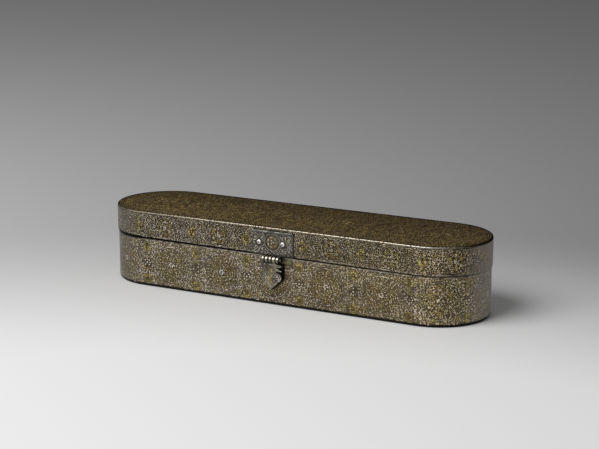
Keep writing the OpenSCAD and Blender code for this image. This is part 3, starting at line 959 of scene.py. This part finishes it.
def places_round_top(inset, step):
    """Places along the edge of the lid's top, about a step apart, of which the last is the first again"""
    radius = LID_RADIUS - inset
    way_round = perimeter(radius)
    count = round(way_round / step)
    return [wall_place(way_round * (i / count - 0.5), radius) for i in range(count + 1)]


def from_plan_line(place):
    """Distance of a place in plan from the middle line of the box"""
    return Vector((max(abs(place.x) - RUN / 2, 0), place.y)).length


def box_round(name, margin):
    """Box of a node of the frame, widened"""
    low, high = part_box(name)
    widened = Vector((margin, margin, margin))
    return low - widened, high + widened


def hinge_boxes(part):
    """Boxes round the leaves of the hinges on one part"""
    return [box_round(f"hinge_{part}_leaf_{side}", margin=0.6 * MM) for side in SIDES]


class Band(NamedTuple):
    """Wall to inlay: its plan radius, the edges between which it is inlaid, and what lies on it"""

    seed: int
    radius: float
    low: Edge
    high: Edge
    repeats: int
    start: float
    roundel: float
    flowers: tuple
    rows: int
    bold: float
    plain_boxes: list
    is_in_painted_shadow: Callable[[float, float], bool] = lambda x, z: False

    def pitch(self):
        return perimeter(self.radius) / self.repeats

    def is_open(self, place):
        """Whether a point of the wall is to be inlaid, with nothing of the frame over it"""
        x, y = wall_place(place.x, self.radius)
        if abs(place.x) > perimeter(self.radius) / 2:
            return False
        if not self.low.height(x) < place.y < self.high.height(x):
            return False
        # No inlay in the painted shadow of the hasp's tongue
        if y < 0 and self.is_in_painted_shadow(x, place.y):
            return False
        for low, high in self.plain_boxes:
            if y * (low.y + high.y) > 0 and low.x < x < high.x and low.z < place.y < high.z:
                return False
        return True


def wall_pattern(band):
    """Roundels and columns of flowers on a field of scrolls"""
    pattern = Pattern(band.seed)
    size = pattern.sizes
    pitch = band.pitch()
    bottom, top = band.low.middle, band.high.middle
    middle = (bottom + top) / 2

    def in_field(place):
        from_roundel = Vector((off_mark(place.x, band.start, pitch), place.y - middle))
        if from_roundel.length < band.roundel + ROUNDEL_ROOM or not band.is_open(place):
            return False
        from_column = off_mark(place.x, band.start + pitch / 2, pitch)
        from_flowers = (Vector((from_column, place.y - height)).length for height, _ in band.flowers)
        return all(distance >= size.rosette + FLOWER_ROOM for distance in from_flowers)

    columns = round(pitch / size.scroll_cell)
    cell = pitch / columns
    row_height = (top - bottom) / band.rows
    reach = band.repeats * columns // 2 + 1

    def cell_place(column, row):
        return Vector((band.start + (column + 0.5) * cell, bottom + (row + 0.5) * row_height))

    centres = pattern.cells(range(-reach, reach), range(band.rows), cell_place, cell)
    pattern.scrolls(centres, in_field, FIELD_METALS, band.bold)
    for repeat in range(-(band.repeats // 2) - 1, band.repeats // 2 + 2):
        centre = Vector((band.start + repeat * pitch, middle))
        pattern.roundel(centre, band.roundel, around=6, metals=ROUNDEL_METALS, inside=band.is_open)
        for height, add_flower in band.flowers:
            add_flower(pattern, Vector((centre.x + pitch / 2, height)))
    for metal, bits in pattern.bits.items():
        pattern.bits[metal] = [bit for bit in bits if all(band.is_open(end) for end in bit.ends())]
    return pattern


# Inlay laid by nodes

INLAY_INPUTS = {
    "Geometry": "NodeSocketGeometry",
    "Motifs": "NodeSocketCollection",
    "Run": "NodeSocketFloat",
    "Radius": "NodeSocketFloat",
    "Centre": "NodeSocketVector",
    "Metal": "NodeSocketMaterial",
}


def inlay_tree(name, rolled):
    """Tree that lays motifs on the points of an unrolled surface, and rolls them round the plan if asked"""
    tree = bpy.data.node_groups.new(name, "GeometryNodeTree")
    graph = Graph(tree)
    for socket, kind in INLAY_INPUTS.items():
        tree.interface.new_socket(socket, in_out="INPUT", socket_type=kind)
    tree.interface.new_socket("Geometry", in_out="OUTPUT", socket_type="NodeSocketGeometry")
    given = graph.add("NodeGroupInput").outputs

    def stored(attribute, kind):
        node = graph.add("GeometryNodeInputNamedAttribute", {"Name": attribute}, data_type=kind)
        return node.outputs["Attribute"]

    def made(kind, inputs, **settings):
        return graph.add(kind, inputs, **settings).outputs["Geometry"]

    shapes = graph.add("GeometryNodeCollectionInfo", {
        "Collection": given["Motifs"], "Separate Children": True, "Reset Children": True})
    laid = graph.add("GeometryNodeInstanceOnPoints", {
        "Points": given["Geometry"],
        "Instance": shapes.outputs["Instances"],
        "Pick Instance": True,
        "Instance Index": stored("motif", "INT"),
        "Rotation": graph.add("ShaderNodeCombineXYZ", {"Z": stored("spin", "FLOAT")}).outputs[0],
        "Scale": stored("size", "FLOAT_VECTOR"),
    })
    real = made("GeometryNodeRealizeInstances", {"Geometry": laid.outputs["Instances"]})
    place = graph.add("GeometryNodeInputPosition").outputs["Position"]
    corners = graph.add("GeometryNodeBoundBox", {"Geometry": real}).outputs
    limits = {6: place, 7: corners["Min"], 8: corners["Max"]}
    unrolled = graph.add("ShaderNodeMapRange", limits, data_type="FLOAT_VECTOR").outputs["Vector"]
    mapped = made(
        "GeometryNodeStoreNamedAttribute", {"Geometry": real, "Name": "OFBake", "Value": unrolled},
        data_type="FLOAT2", domain="CORNER")
    if rolled:
        place = rolled_place(graph, place, given["Run"], given["Radius"])
    moved = graph.vector("ADD", place, given["Centre"])
    set_down = made("GeometryNodeSetPosition", {"Geometry": mapped, "Position": moved})
    coated = made("GeometryNodeSetMaterial", {"Geometry": set_down, "Material": given["Metal"]})
    graph.add("NodeGroupOutput", {"Geometry": coated})
    return tree


def rolled_place(graph, place, run, radius):
    """Place on a wall that runs straight, round an end and straight back, from its unrolled place"""
    u, v, w = graph.add("ShaderNodeSeparateXYZ", {"Vector": place}).outputs
    far = graph.absolute(u)
    half = graph.product(run, 0.5)
    past = graph.minus(far, half)
    turn = graph.math("MINIMUM", graph.math("MAXIMUM", graph.math("DIVIDE", past, radius), 0.0), math.pi)
    back = graph.math("MAXIMUM", graph.minus(past, graph.product(radius, math.pi)), 0.0)
    reach = graph.math("ADD", radius, w)
    across = graph.math("MULTIPLY_ADD", reach, graph.math("SINE", turn), graph.math("MINIMUM", far, half))
    x = graph.product(graph.math("SIGN", u), graph.minus(across, back))
    y = graph.product(reach, -1.0, graph.math("COSINE", turn))
    return graph.add("ShaderNodeCombineXYZ", {"X": x, "Y": y, "Z": v}).outputs[0]


def points_object(name, bits, rise):
    """Points with the kind, turn, shade and size of the motif that goes on each"""
    mesh = bpy.data.meshes.new(name)
    mesh.from_pydata([(*bit.place, 0) for bit in bits], [], [])
    for attribute, kind in (("motif", "INT"), ("spin", "FLOAT"), (SHADE, "FLOAT")):
        values = [getattr(bit, attribute) for bit in bits]
        mesh.attributes.new(attribute, kind, "POINT").data.foreach_set("value", values)
    scale = [number for bit in bits for number in (bit.length, bit.width, rise)]
    mesh.attributes.new("size", "FLOAT_VECTOR", "POINT").data.foreach_set("vector", scale)
    source = bpy.data.objects.new(name, mesh)
    bpy.context.scene.collection.objects.link(source)
    return source


def lay_inlay(name, bits, material, body, slot, run=RUN, radius=0.0, centre=(0, 0, 0), rolled=True):
    """One piece of inlay: motifs on the points, as a plain mesh that rides on a body"""
    motifs = motif_collection()
    tree = inlay_tree("rolled_inlay" if rolled else "flat_inlay", rolled)
    source = points_object(name + "_points", bits, sizes().rise)
    modifier = source.modifiers.new("inlay", "NODES")
    modifier.node_group = tree
    values = {"Motifs": motifs, "Run": run, "Radius": radius, "Centre": centre, "Metal": material}
    for item in tree.interface.items_tree:
        if item.in_out == "INPUT" and item.name in values:
            modifier[item.identifier] = values[item.name]
    depsgraph = bpy.context.evaluated_depsgraph_get()
    mesh = bpy.data.meshes.new_from_object(
        source.evaluated_get(depsgraph), preserve_all_data_layers=True, depsgraph=depsgraph)
    mesh.name = name
    for attribute in ("motif", "spin", "size"):
        if attribute in mesh.attributes:
            mesh.attributes.remove(mesh.attributes[attribute])
    bpy.data.meshes.remove(source.data)
    bpy.data.node_groups.remove(tree)
    remove_motifs(motifs)
    if not mesh.polygons:
        raise RuntimeError(name + " came out empty")
    add_piece(name, mesh, body)


def add_piece(name, mesh, body):
    """Object of a finished mesh, which rides on a body"""
    piece = bpy.data.objects.new(name, mesh)
    bpy.context.scene.collection.objects.link(piece)
    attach(piece, body)


def wall_inlay_materials():
    """Silver and gold of the walls, made once"""
    if "silver_inlay" not in bpy.data.materials:
        silver = inlay_metal("silver_inlay", "silver", "silver_stain", 0.38, (0.6, 0.79), **WALL_FINISH)
        silver.tinge(silver.span(silver.x, -RUN / 4, RUN / 2), "yellowed")
        silver.tinge(silver.patchy(1.0, scale=60, low=0.5, high=0.62), "cool")
        gold = inlay_metal("gold_inlay", "gold", "gold_stain", 0.42, (0.55, 0.77), **WALL_FINISH)
        gold.tinge(gold.patchy(1.0, scale=45, low=0.42, high=0.6), "olive")
        gold.tinge(gold.patchy(1.0, scale=38, low=0.55, high=0.65), "copper")
        for metal in (silver, gold):
            metal.wear_and_painted_light_at_ends()
            metal.finished()
    return {metal: bpy.data.materials[metal + "_inlay"] for metal in (SILVER, GOLD)}


def top_inlay_materials():
    """Silver and gold of the lid's top"""
    materials = {}
    for metal in (SILVER, GOLD):
        inlay = inlay_metal(f"top_{metal}_inlay", f"top_{metal}", "top_dull", 0.4, (0.3, 0.56))
        speckle_top(inlay)
        shade_back_edge(inlay)
        materials[metal] = inlay.finished()
    return materials


def lay_pattern(prefix, pattern, materials, body, slot, **surface):
    """Silver and gold pieces of one pattern"""
    for metal, material in materials.items():
        lay_inlay(f"{prefix}_{metal}_inlay", pattern.bits[metal], material, body, slot, **surface)


def lay_wall(prefix, band, body):
    """Silver and gold pieces of one wall"""
    lay_pattern(prefix, wall_pattern(band), wall_inlay_materials(), body, "inlaid_brass", radius=band.radius)


# Stage

# Width of the camera's sensor, in millimetres
SENSOR_WIDTH = 36

# Place of the lamp to the left of the box, in front of it and above it, and the height that it points at
LAMP_LEFT = 0.9
LAMP_NEARER = 0.62
LAMP_HEIGHT = 1.35
LAMP_AIM = 0.02

# Floor: half its width, and how far it lies below the box
FLOOR_REACH = 6
FLOOR_DROP = 0.1 * MM

# Pool of light on the floor: how far before the box and to its left its middle lies, where it starts to
# darken and is darkest, its level, and how much it darkens, on the whole and more to the right
POOL_NEARER = 0.55
POOL_LEFT = 0.05
POOL_EDGE = 0.35
POOL_END = 0.775
POOL_LEVEL = 1.03
POOL_FALL = 0.523
POOL_FALL_RIGHT = 0.344


class PENBOX_OT_stage(bpy.types.Operator):
    """Adds the camera, the lamp and the floor"""

    bl_idname = "penbox.stage"
    bl_label = "Stage"

    azimuth: FloatProperty(
        name="Azimuth", description="Turn of the camera to the right of the front",
        default=math.radians(28.39), subtype="ANGLE")
    pitch: FloatProperty(
        name="Pitch", description="Angle by which the camera looks down",
        default=math.radians(13.309), subtype="ANGLE")
    distance: measure("Distance", "Distance of the camera from the middle of the underside", 1142.2 * MM)
    shift_right: measure("Shift right", "Step of the camera to the right", 1.455 * MM)
    shift_up: measure("Shift up", "Step of the camera upwards", 47.978 * MM)
    lens: FloatProperty(
        name="Lens", description="Focal length for a sensor 36 mm wide", default=96.28, unit="CAMERA")
    lamp_size: measure("Lamp size", "Width of the round lamp", 1300 * MM)
    lamp_power: FloatProperty(name="Lamp power", description="Power of the lamp", default=27.5, unit="POWER")
    sky: FloatProperty(name="Sky", description="Strength of the light from all round", default=0.25)

    def execute(self, context):
        scene = context.scene
        scene.view_settings.view_transform = "Standard"
        back = Vector((
            math.sin(self.azimuth) * math.cos(self.pitch),
            -math.cos(self.azimuth) * math.cos(self.pitch),
            math.sin(self.pitch)))
        right = Vector((math.cos(self.azimuth), math.sin(self.azimuth), 0))
        nearer = Vector((back.x, back.y, 0)).normalized()
        self.add_camera(scene, back, right, back.cross(right))
        self.add_lamp(scene, nearer, right)
        self.add_floor(scene, nearer, right)
        self.add_world(scene)
        return {"FINISHED"}

    def add_camera(self, scene, back, right, upward):
        data = bpy.data.cameras.new("photo_camera")
        data.lens = self.lens
        data.sensor_width = SENSOR_WIDTH
        camera = bpy.data.objects.new("photo_camera", data)
        camera.location = self.distance * back + self.shift_right * right + self.shift_up * upward
        camera.rotation_euler = Matrix((right, upward, back)).transposed().to_euler()
        scene.collection.objects.link(camera)
        scene.camera = camera

    def add_lamp(self, scene, nearer, right):
        data = bpy.data.lights.new("key_lamp", "AREA")
        data.shape = "DISK"
        data.size = self.lamp_size
        data.energy = self.lamp_power
        lamp = bpy.data.objects.new("key_lamp", data)
        place = -LAMP_LEFT * right + LAMP_NEARER * nearer + Vector((0, 0, LAMP_HEIGHT))
        lamp.location = place
        lamp.rotation_euler = (Vector((0, 0, LAMP_AIM)) - place).to_track_quat("-Z", "Y").to_euler()
        scene.collection.objects.link(lamp)

    def add_floor(self, scene, nearer, right):
        level = cad_box[0].z - FLOOR_DROP
        square = ((-1, -1), (1, -1), (1, 1), (-1, 1))
        mesh = bpy.data.meshes.new("floor")
        mesh.from_pydata([(x * FLOOR_REACH, y * FLOOR_REACH, level) for x, y in square], [], [(0, 1, 2, 3)])
        mesh.materials.append(self.floor_material(nearer, right))
        floor = bpy.data.objects.new("floor", mesh)
        scene.collection.objects.link(floor)

    def floor_material(self, nearer, right):
        """Paper that darkens away from a pool of light in front of the box, and more so to the right"""
        material = bpy.data.materials.new("floor_paper")
        material.use_nodes = True
        graph = Graph(material.node_tree)
        shader = material.node_tree.nodes["Principled BSDF"]
        place = graph.add("ShaderNodeTexCoord").outputs["Object"]
        offset = graph.vector("SUBTRACT", place, POOL_NEARER * nearer - POOL_LEFT * right)
        far = graph.vector("LENGTH", offset)
        aside = graph.math("DIVIDE", graph.vector("DOT_PRODUCT", offset, right), far)
        fall = graph.math("MULTIPLY_ADD", aside, POOL_FALL_RIGHT, POOL_FALL)
        level = graph.minus(POOL_LEVEL, graph.product(graph.span(far, POOL_EDGE, POOL_END), fall))
        graph.feed(shader.inputs["Base Color"], graph.blend(level, BLACK, tint("floor")))
        shader.inputs["Roughness"].default_value = 0.9
        shader.inputs["Specular IOR Level"].default_value = 0.1
        return material

    def add_world(self, scene):
        world = bpy.data.worlds.new("studio")
        world.use_nodes = True
        background = world.node_tree.nodes["Background"]
        background.inputs["Color"].default_value = (1, 1, 1, 1)
        background.inputs["Strength"].default_value = self.sky
        scene.world = world


# Pieces

class PENBOX_OT_finishes(bpy.types.Operator):
    """Gives each solid of the frame its metal"""

    bl_idname = "penbox.finishes"
    bl_label = "Metal finishes"

    def execute(self, context):
        finish_nodes(body_metal(), "body_wall")
        finish_nodes(wall_metal("lid", LID_EDGE, 1.0, rubbed=0.45).finished(), "lid_wall")
        finish_nodes(top_metal(), "lid_top")
        finish_nodes(plain_metal("plain_metal").finished(), "ink_bulkhead", "ink_deck")
        finish_nodes(base_metal(), "body_base")
        finish_nodes(lip_metal(), "rim_lip")
        finish_nodes(cup_metal(), "ink_cup", "sand_cup", "starch_cup")
        finish_nodes(plate_metal(), "hasp_plate")
        finish_nodes(tongue_metal(), "hasp_tongue", "catch_stud")
        hinge = fitting_metal("hinge_metal", "fitting", HINGE_OFFSET, hinge_axis, HINGE_BARREL).finished()
        for side in SIDES:
            finish_nodes(hinge, f"hinge_body_leaf_{side}", f"hinge_lid_leaf_{side}", f"hinge_pin_{side}")
        finish_nodes(rivet_metal("rivet_metal").finished(), "hinge_body_rivets", "hinge_lid_rivets")
        finish_nodes(plate_rivet_metal(), "hasp_rivets")
        finish_nodes(Metal("pin_metal", "silver_stain", "grime_and_shade", roughness=0.5).finished(), "hasp_pin")
        return {"FINISHED"}


class PENBOX_OT_body_inlay(bpy.types.Operator):
    """Inlays the wall of the body"""

    bl_idname = "penbox.body_inlay"
    bl_label = "Body inlay"

    def execute(self, context):
        size = sizes()
        gold, dotted = Pattern.gold_flower, Pattern.dotted_flower
        band = Band(
            seed=3, radius=BODY_RADIUS, low=Edge(foot_top + 0.5 * MM), high=RIM.moved(-0.8 * MM),
            repeats=size.body_repeats, start=0.7 * MM, roundel=size.body_roundel, rows=4, bold=1.1,
            flowers=((29 * MM, gold), (17.6 * MM, dotted), (5.7 * MM, gold)),
            plain_boxes=[
                *hinge_boxes("body"), (BARE_LOW, BARE_HIGH),
                (CATCH_MIDDLE - CATCH_REACH, CATCH_MIDDLE + CATCH_REACH)],
            is_in_painted_shadow=is_in_tongue_shadow)
        lay_wall("body", band, "case")
        return {"FINISHED"}


class PENBOX_OT_lid_inlay(bpy.types.Operator):
    """Inlays the wall of the lid"""

    bl_idname = "penbox.lid_inlay"
    bl_label = "Lid inlay"

    def execute(self, context):
        size = sizes()
        band = Band(
            seed=5, radius=LID_RADIUS, low=LID_EDGE.moved(0.3 * MM), high=Edge(lid_high.z),
            repeats=size.lid_repeats, start=2 * MM, roundel=size.lid_roundel, rows=2, bold=0.84,
            flowers=(((LID_EDGE.middle + lid_high.z) / 2, Pattern.gold_flower),),
            plain_boxes=[*hinge_boxes("lid"), box_round("hasp_plate", margin=0.2 * MM)])
        lay_wall("lid", band, "lid")
        return {"FINISHED"}


class PENBOX_OT_top_inlay(bpy.types.Operator):
    """Inlays the top of the lid"""

    bl_idname = "penbox.top_inlay"
    bl_label = "Top inlay"

    def execute(self, context):
        pattern = Pattern(8)
        self.add_border(pattern)
        self.add_field(pattern)
        lay_pattern(
            "top", pattern, top_inlay_materials(), "lid", "dark_inlaid_brass",
            centre=(0, 0, top_high.z), rolled=False)
        return {"FINISHED"}

    def add_border(self, pattern):
        """Row of beads between two lines"""
        for inset, metal in ((1.8 * MM, SILVER), (5 * MM, GOLD)):
            pattern.line(metal, places_round_top(inset, step=1.6 * MM), pattern.sizes.line_width)
        for place in places_round_top(3.4 * MM, step=2.4 * MM)[:-1]:
            pattern.bead(GOLD, place, size=1.8 * MM)

    def add_field(self, pattern):
        """Roundels and flowers in turn along the middle, in a field of scrolls"""
        size = pattern.sizes
        pitch = 75 * MM
        border = 5.6 * MM
        cell = size.scroll_cell
        columns, rows = range(-18, 18), range(-4, 4)
        roundels = [Vector((place * pitch, 0)) for place in (-1, 0, 1)]
        flowers = [Vector((place * pitch, 0)) for place in (-1.5, -0.5, 0.5, 1.5)]

        def in_field(place):
            if from_plan_line(place) > LID_RADIUS - border:
                return False
            if any((place - centre).length < size.top_roundel + ROUNDEL_ROOM for centre in roundels):
                return False
            return all((place - centre).length > 1.5 * size.rosette for centre in flowers)

        def cell_place(column, row):
            return Vector(((column + 0.5) * cell, (row + 0.5) * cell))

        centres = pattern.cells(columns, rows, cell_place, cell)
        pattern.scrolls(centres, in_field, TOP_METALS)
        for centre in roundels:
            pattern.roundel(centre, size.top_roundel, around=8, metals=TOP_METALS, inside=lambda place: True)
        for centre in flowers:
            pattern.rosette(GOLD, centre, 1.3 * size.rosette, petals=8)
            pattern.ring(GOLD, centre, 1.4 * size.rosette, size.line_width)


class PENBOX_OT_plate_inlay(bpy.types.Operator):
    """Inlays the hasp's plate and adds the moulding along its top"""

    bl_idname = "penbox.plate_inlay"
    bl_label = "Hasp plate"

    def execute(self, context):
        pattern = Pattern(11)
        face = LID_RADIUS + PLATE_THICKNESS
        middle = Vector((hasp_axis.x, plate_edge + 9.2 * MM))
        rivets = [plate_rivets + Vector((side * PLATE_RIVET_SPACING / 2, 0)) for side in (-1, 1)]
        pattern.ring(SILVER, middle, radius=6.1 * MM, width=0.9 * MM, brightest=0.9)
        pattern.rosette(GOLD, middle, radius=5 * MM, petals=8, brightest=0.9)
        pattern.beads(SILVER, middle, radius=3.4 * MM, count=7, size=1.3 * MM, dullest=0.4)
        pattern.beads(SILVER, middle, radius=1.2 * MM, count=3, size=1.2 * MM, dullest=0.4)

        half_width, bottom, top = 15 * MM, -8.4 * MM, 5.2 * MM
        ring_room, rivet_room = 7 * MM, 3 * MM

        def in_sides(place):
            from_middle = place - middle
            if abs(from_middle.x) > half_width or not bottom < from_middle.y < top:
                return False
            if from_middle.length <= ring_room:
                return False
            return all((place - rivet).length > rivet_room for rivet in rivets)

        cells = [(side * across, up) for side in (-1, 1) for across in (8, 13) for up in (-5.5, 3)]
        centres = [(middle + Vector(cell) * MM, alternate(i)) for i, cell in enumerate(cells)]
        pattern.scrolls(centres, in_sides, PLATE_METALS, bold=0.75)
        lay_pattern("plate", pattern, wall_inlay_materials(), "lid", "fitting_metal", run=1.0, radius=face)
        self.add_moulding(face)
        return {"FINISHED"}

    def add_moulding(self, face):
        """Half-round bar along the top of the plate, which it laps over"""
        steps = 8
        height = 0.8 * MM
        depth = 0.6 * MM
        inset = 0.4 * MM
        middle = plate_high.z - 0.4 * MM
        turns = [math.pi * i / steps for i in range(steps + 1)]
        ring = [(-face - depth * math.sin(turn), middle - height * math.cos(turn)) for turn in turns]
        ring += [(-LID_RADIUS, middle + height), (-LID_RADIUS, middle - height)]
        count = len(ring)
        corners = [(x, y, z) for x in (plate_low.x + inset, plate_high.x - inset) for y, z in ring]
        faces = [(i, i + count, (i + 1) % count + count, (i + 1) % count) for i in range(count)]
        faces += [tuple(range(count)), tuple(reversed(range(count, 2 * count)))]
        mesh = bpy.data.meshes.new("plate_moulding")
        mesh.from_pydata(corners, [], faces)
        metal = Metal("moulding_metal", "moulding", "fitting", roughness=0.5, broad=220, fine=1400)
        mesh.materials.append(metal.finished())
        add_piece("plate_moulding", mesh, "lid")


class PENBOX_OT_tongue_inlay(bpy.types.Operator):
    """Inlays the hasp's tongue"""

    bl_idname = "penbox.tongue_inlay"
    bl_label = "Hasp tongue"

    def execute(self, context):
        pattern = Pattern(14)
        tip = tongue_low.z
        belly = Vector((4.7 * MM, tip + 8.8 * MM))
        self.add_branch(pattern, tip)
        self.add_dots(pattern, tip, belly)
        for side, brightest in ((-1, 0.85), (1, 0.4)):
            self.add_outline(pattern, tip, belly, side, brightest)
        lay_pattern(
            "tongue", pattern, wall_inlay_materials(), "hasp", "fitting_metal",
            run=0.0, radius=CROWN_RADIUS, centre=(hasp_axis.x, crown_axis, 0))
        return {"FINISHED"}

    def add_branch(self, pattern, tip):
        """Gold stem along the middle, with pairs of leaves"""
        pairs = 9
        lowest = tip + 3 * MM
        step = 1.5 * MM
        stem_width = 0.8 * MM
        leaf_length, leaf_width = 2.8 * MM, 2 * MM
        upright, lean = math.pi / 2, 0.8
        for i in range(pairs):
            place = Vector((0, lowest + i * step))
            pattern.put(GOLD, "bar", place, upright, step * JOINT_OVERLAP, stem_width, brightest=0.7)
            for side, leaf in ((1, "leaf_right"), (-1, "leaf_left")):
                spin = upright - side * lean
                pattern.put(GOLD, leaf, place, spin, leaf_length, leaf_width, brightest=0.55)

    def add_dots(self, pattern, tip, belly):
        """Silver beads on both halves of the leaf, and three brighter ones"""
        lowest = tip + 4 * MM
        across_step, up_step = 1.5 * MM, 1.3 * MM
        clear_of_stem = 2.6 * MM
        flank_slope, flank_inset = 1.05, 1.6 * MM
        belly_reach = 2.6 * MM
        for column in range(-5, 6):
            for row in range(8):
                place = Vector((across_step * (column + 0.5 * (row % 2)), lowest + up_step * row))
                across = abs(place.x)
                below = place.y < belly.y and across < flank_slope * (place.y - tip) - flank_inset
                on_belly = (Vector((across, place.y)) - belly).length < belly_reach
                if across > clear_of_stem and (below or on_belly):
                    pattern.bead(SILVER, place, size=1 * MM, brightest=0.5)
        for across, up in ((0, 2.6), (5.2, 9.6), (6.4, 7.8)):
            pattern.bead(SILVER, Vector((across * MM, tip + up * MM)), size=1.4 * MM, dullest=0.1)

    def add_outline(self, pattern, tip, belly, side, brightest):
        """Silver line from the belly to the tip, and two barbs above it, on one side"""
        steps = 7
        bow = 2.9 * MM
        line_width, barb_width = 0.55 * MM, 0.7 * MM
        turns = [math.radians(70 - 15 * i) for i in range(8)]
        outline = [belly + polar(bow, turn) for turn in turns]
        start, end = outline[-1], Vector((0, tip + 1.1 * MM))
        outline += [start.lerp(end, (i + 1) / steps) for i in range(steps)]
        on_side = [Vector((side * place.x, place.y)) for place in outline]
        pattern.line(SILVER, on_side, line_width, brightest)
        for barb in (((0.5, -3.3), (4.6, -3.4), (8.4, -4.2)), ((4.8, -6.5), (8, -7.6))):
            places = [Vector((side * across * MM, hasp_axis.z + up * MM)) for across, up in barb]
            pattern.line(SILVER, places, barb_width, brightest=0.2)


class PENBOX_PT_panel(bpy.types.Panel):
    """Lists the operators of the pen box"""

    bl_label = "Pen Box"
    bl_idname = "PENBOX_PT_panel"
    bl_space_type = "VIEW_3D"
    bl_region_type = "UI"
    bl_category = "Pen Box"

    def draw(self, context):
        for operator in OPERATORS:
            self.layout.operator(operator.bl_idname)
        for group in (context.scene.pen_box_sizes, context.scene.pen_box_colours):
            for name in group.__annotations__:
                self.layout.prop(group, name)


OPERATORS = (
    PENBOX_OT_stage,
    PENBOX_OT_finishes,
    PENBOX_OT_body_inlay,
    PENBOX_OT_lid_inlay,
    PENBOX_OT_top_inlay,
    PENBOX_OT_plate_inlay,
    PENBOX_OT_tongue_inlay,
)
CLASSES = (PenBoxSizes, PenBoxColours, *OPERATORS, PENBOX_PT_panel)


def register():
    for cls in CLASSES:
        bpy.utils.register_class(cls)
    bpy.types.Scene.pen_box_sizes = PointerProperty(type=PenBoxSizes)
    bpy.types.Scene.pen_box_colours = PointerProperty(type=PenBoxColours)


def unregister():
    del bpy.types.Scene.pen_box_colours
    del bpy.types.Scene.pen_box_sizes
    for cls in reversed(CLASSES):
        bpy.utils.unregister_class(cls)


def main():
    register()
    bpy.ops.penbox.stage()
    bpy.ops.penbox.finishes()
    bpy.ops.penbox.body_inlay()
    bpy.ops.penbox.lid_inlay()
    bpy.ops.penbox.top_inlay()
    bpy.ops.penbox.plate_inlay()
    bpy.ops.penbox.tongue_inlay()


if __name__ == "__main__":
    main()
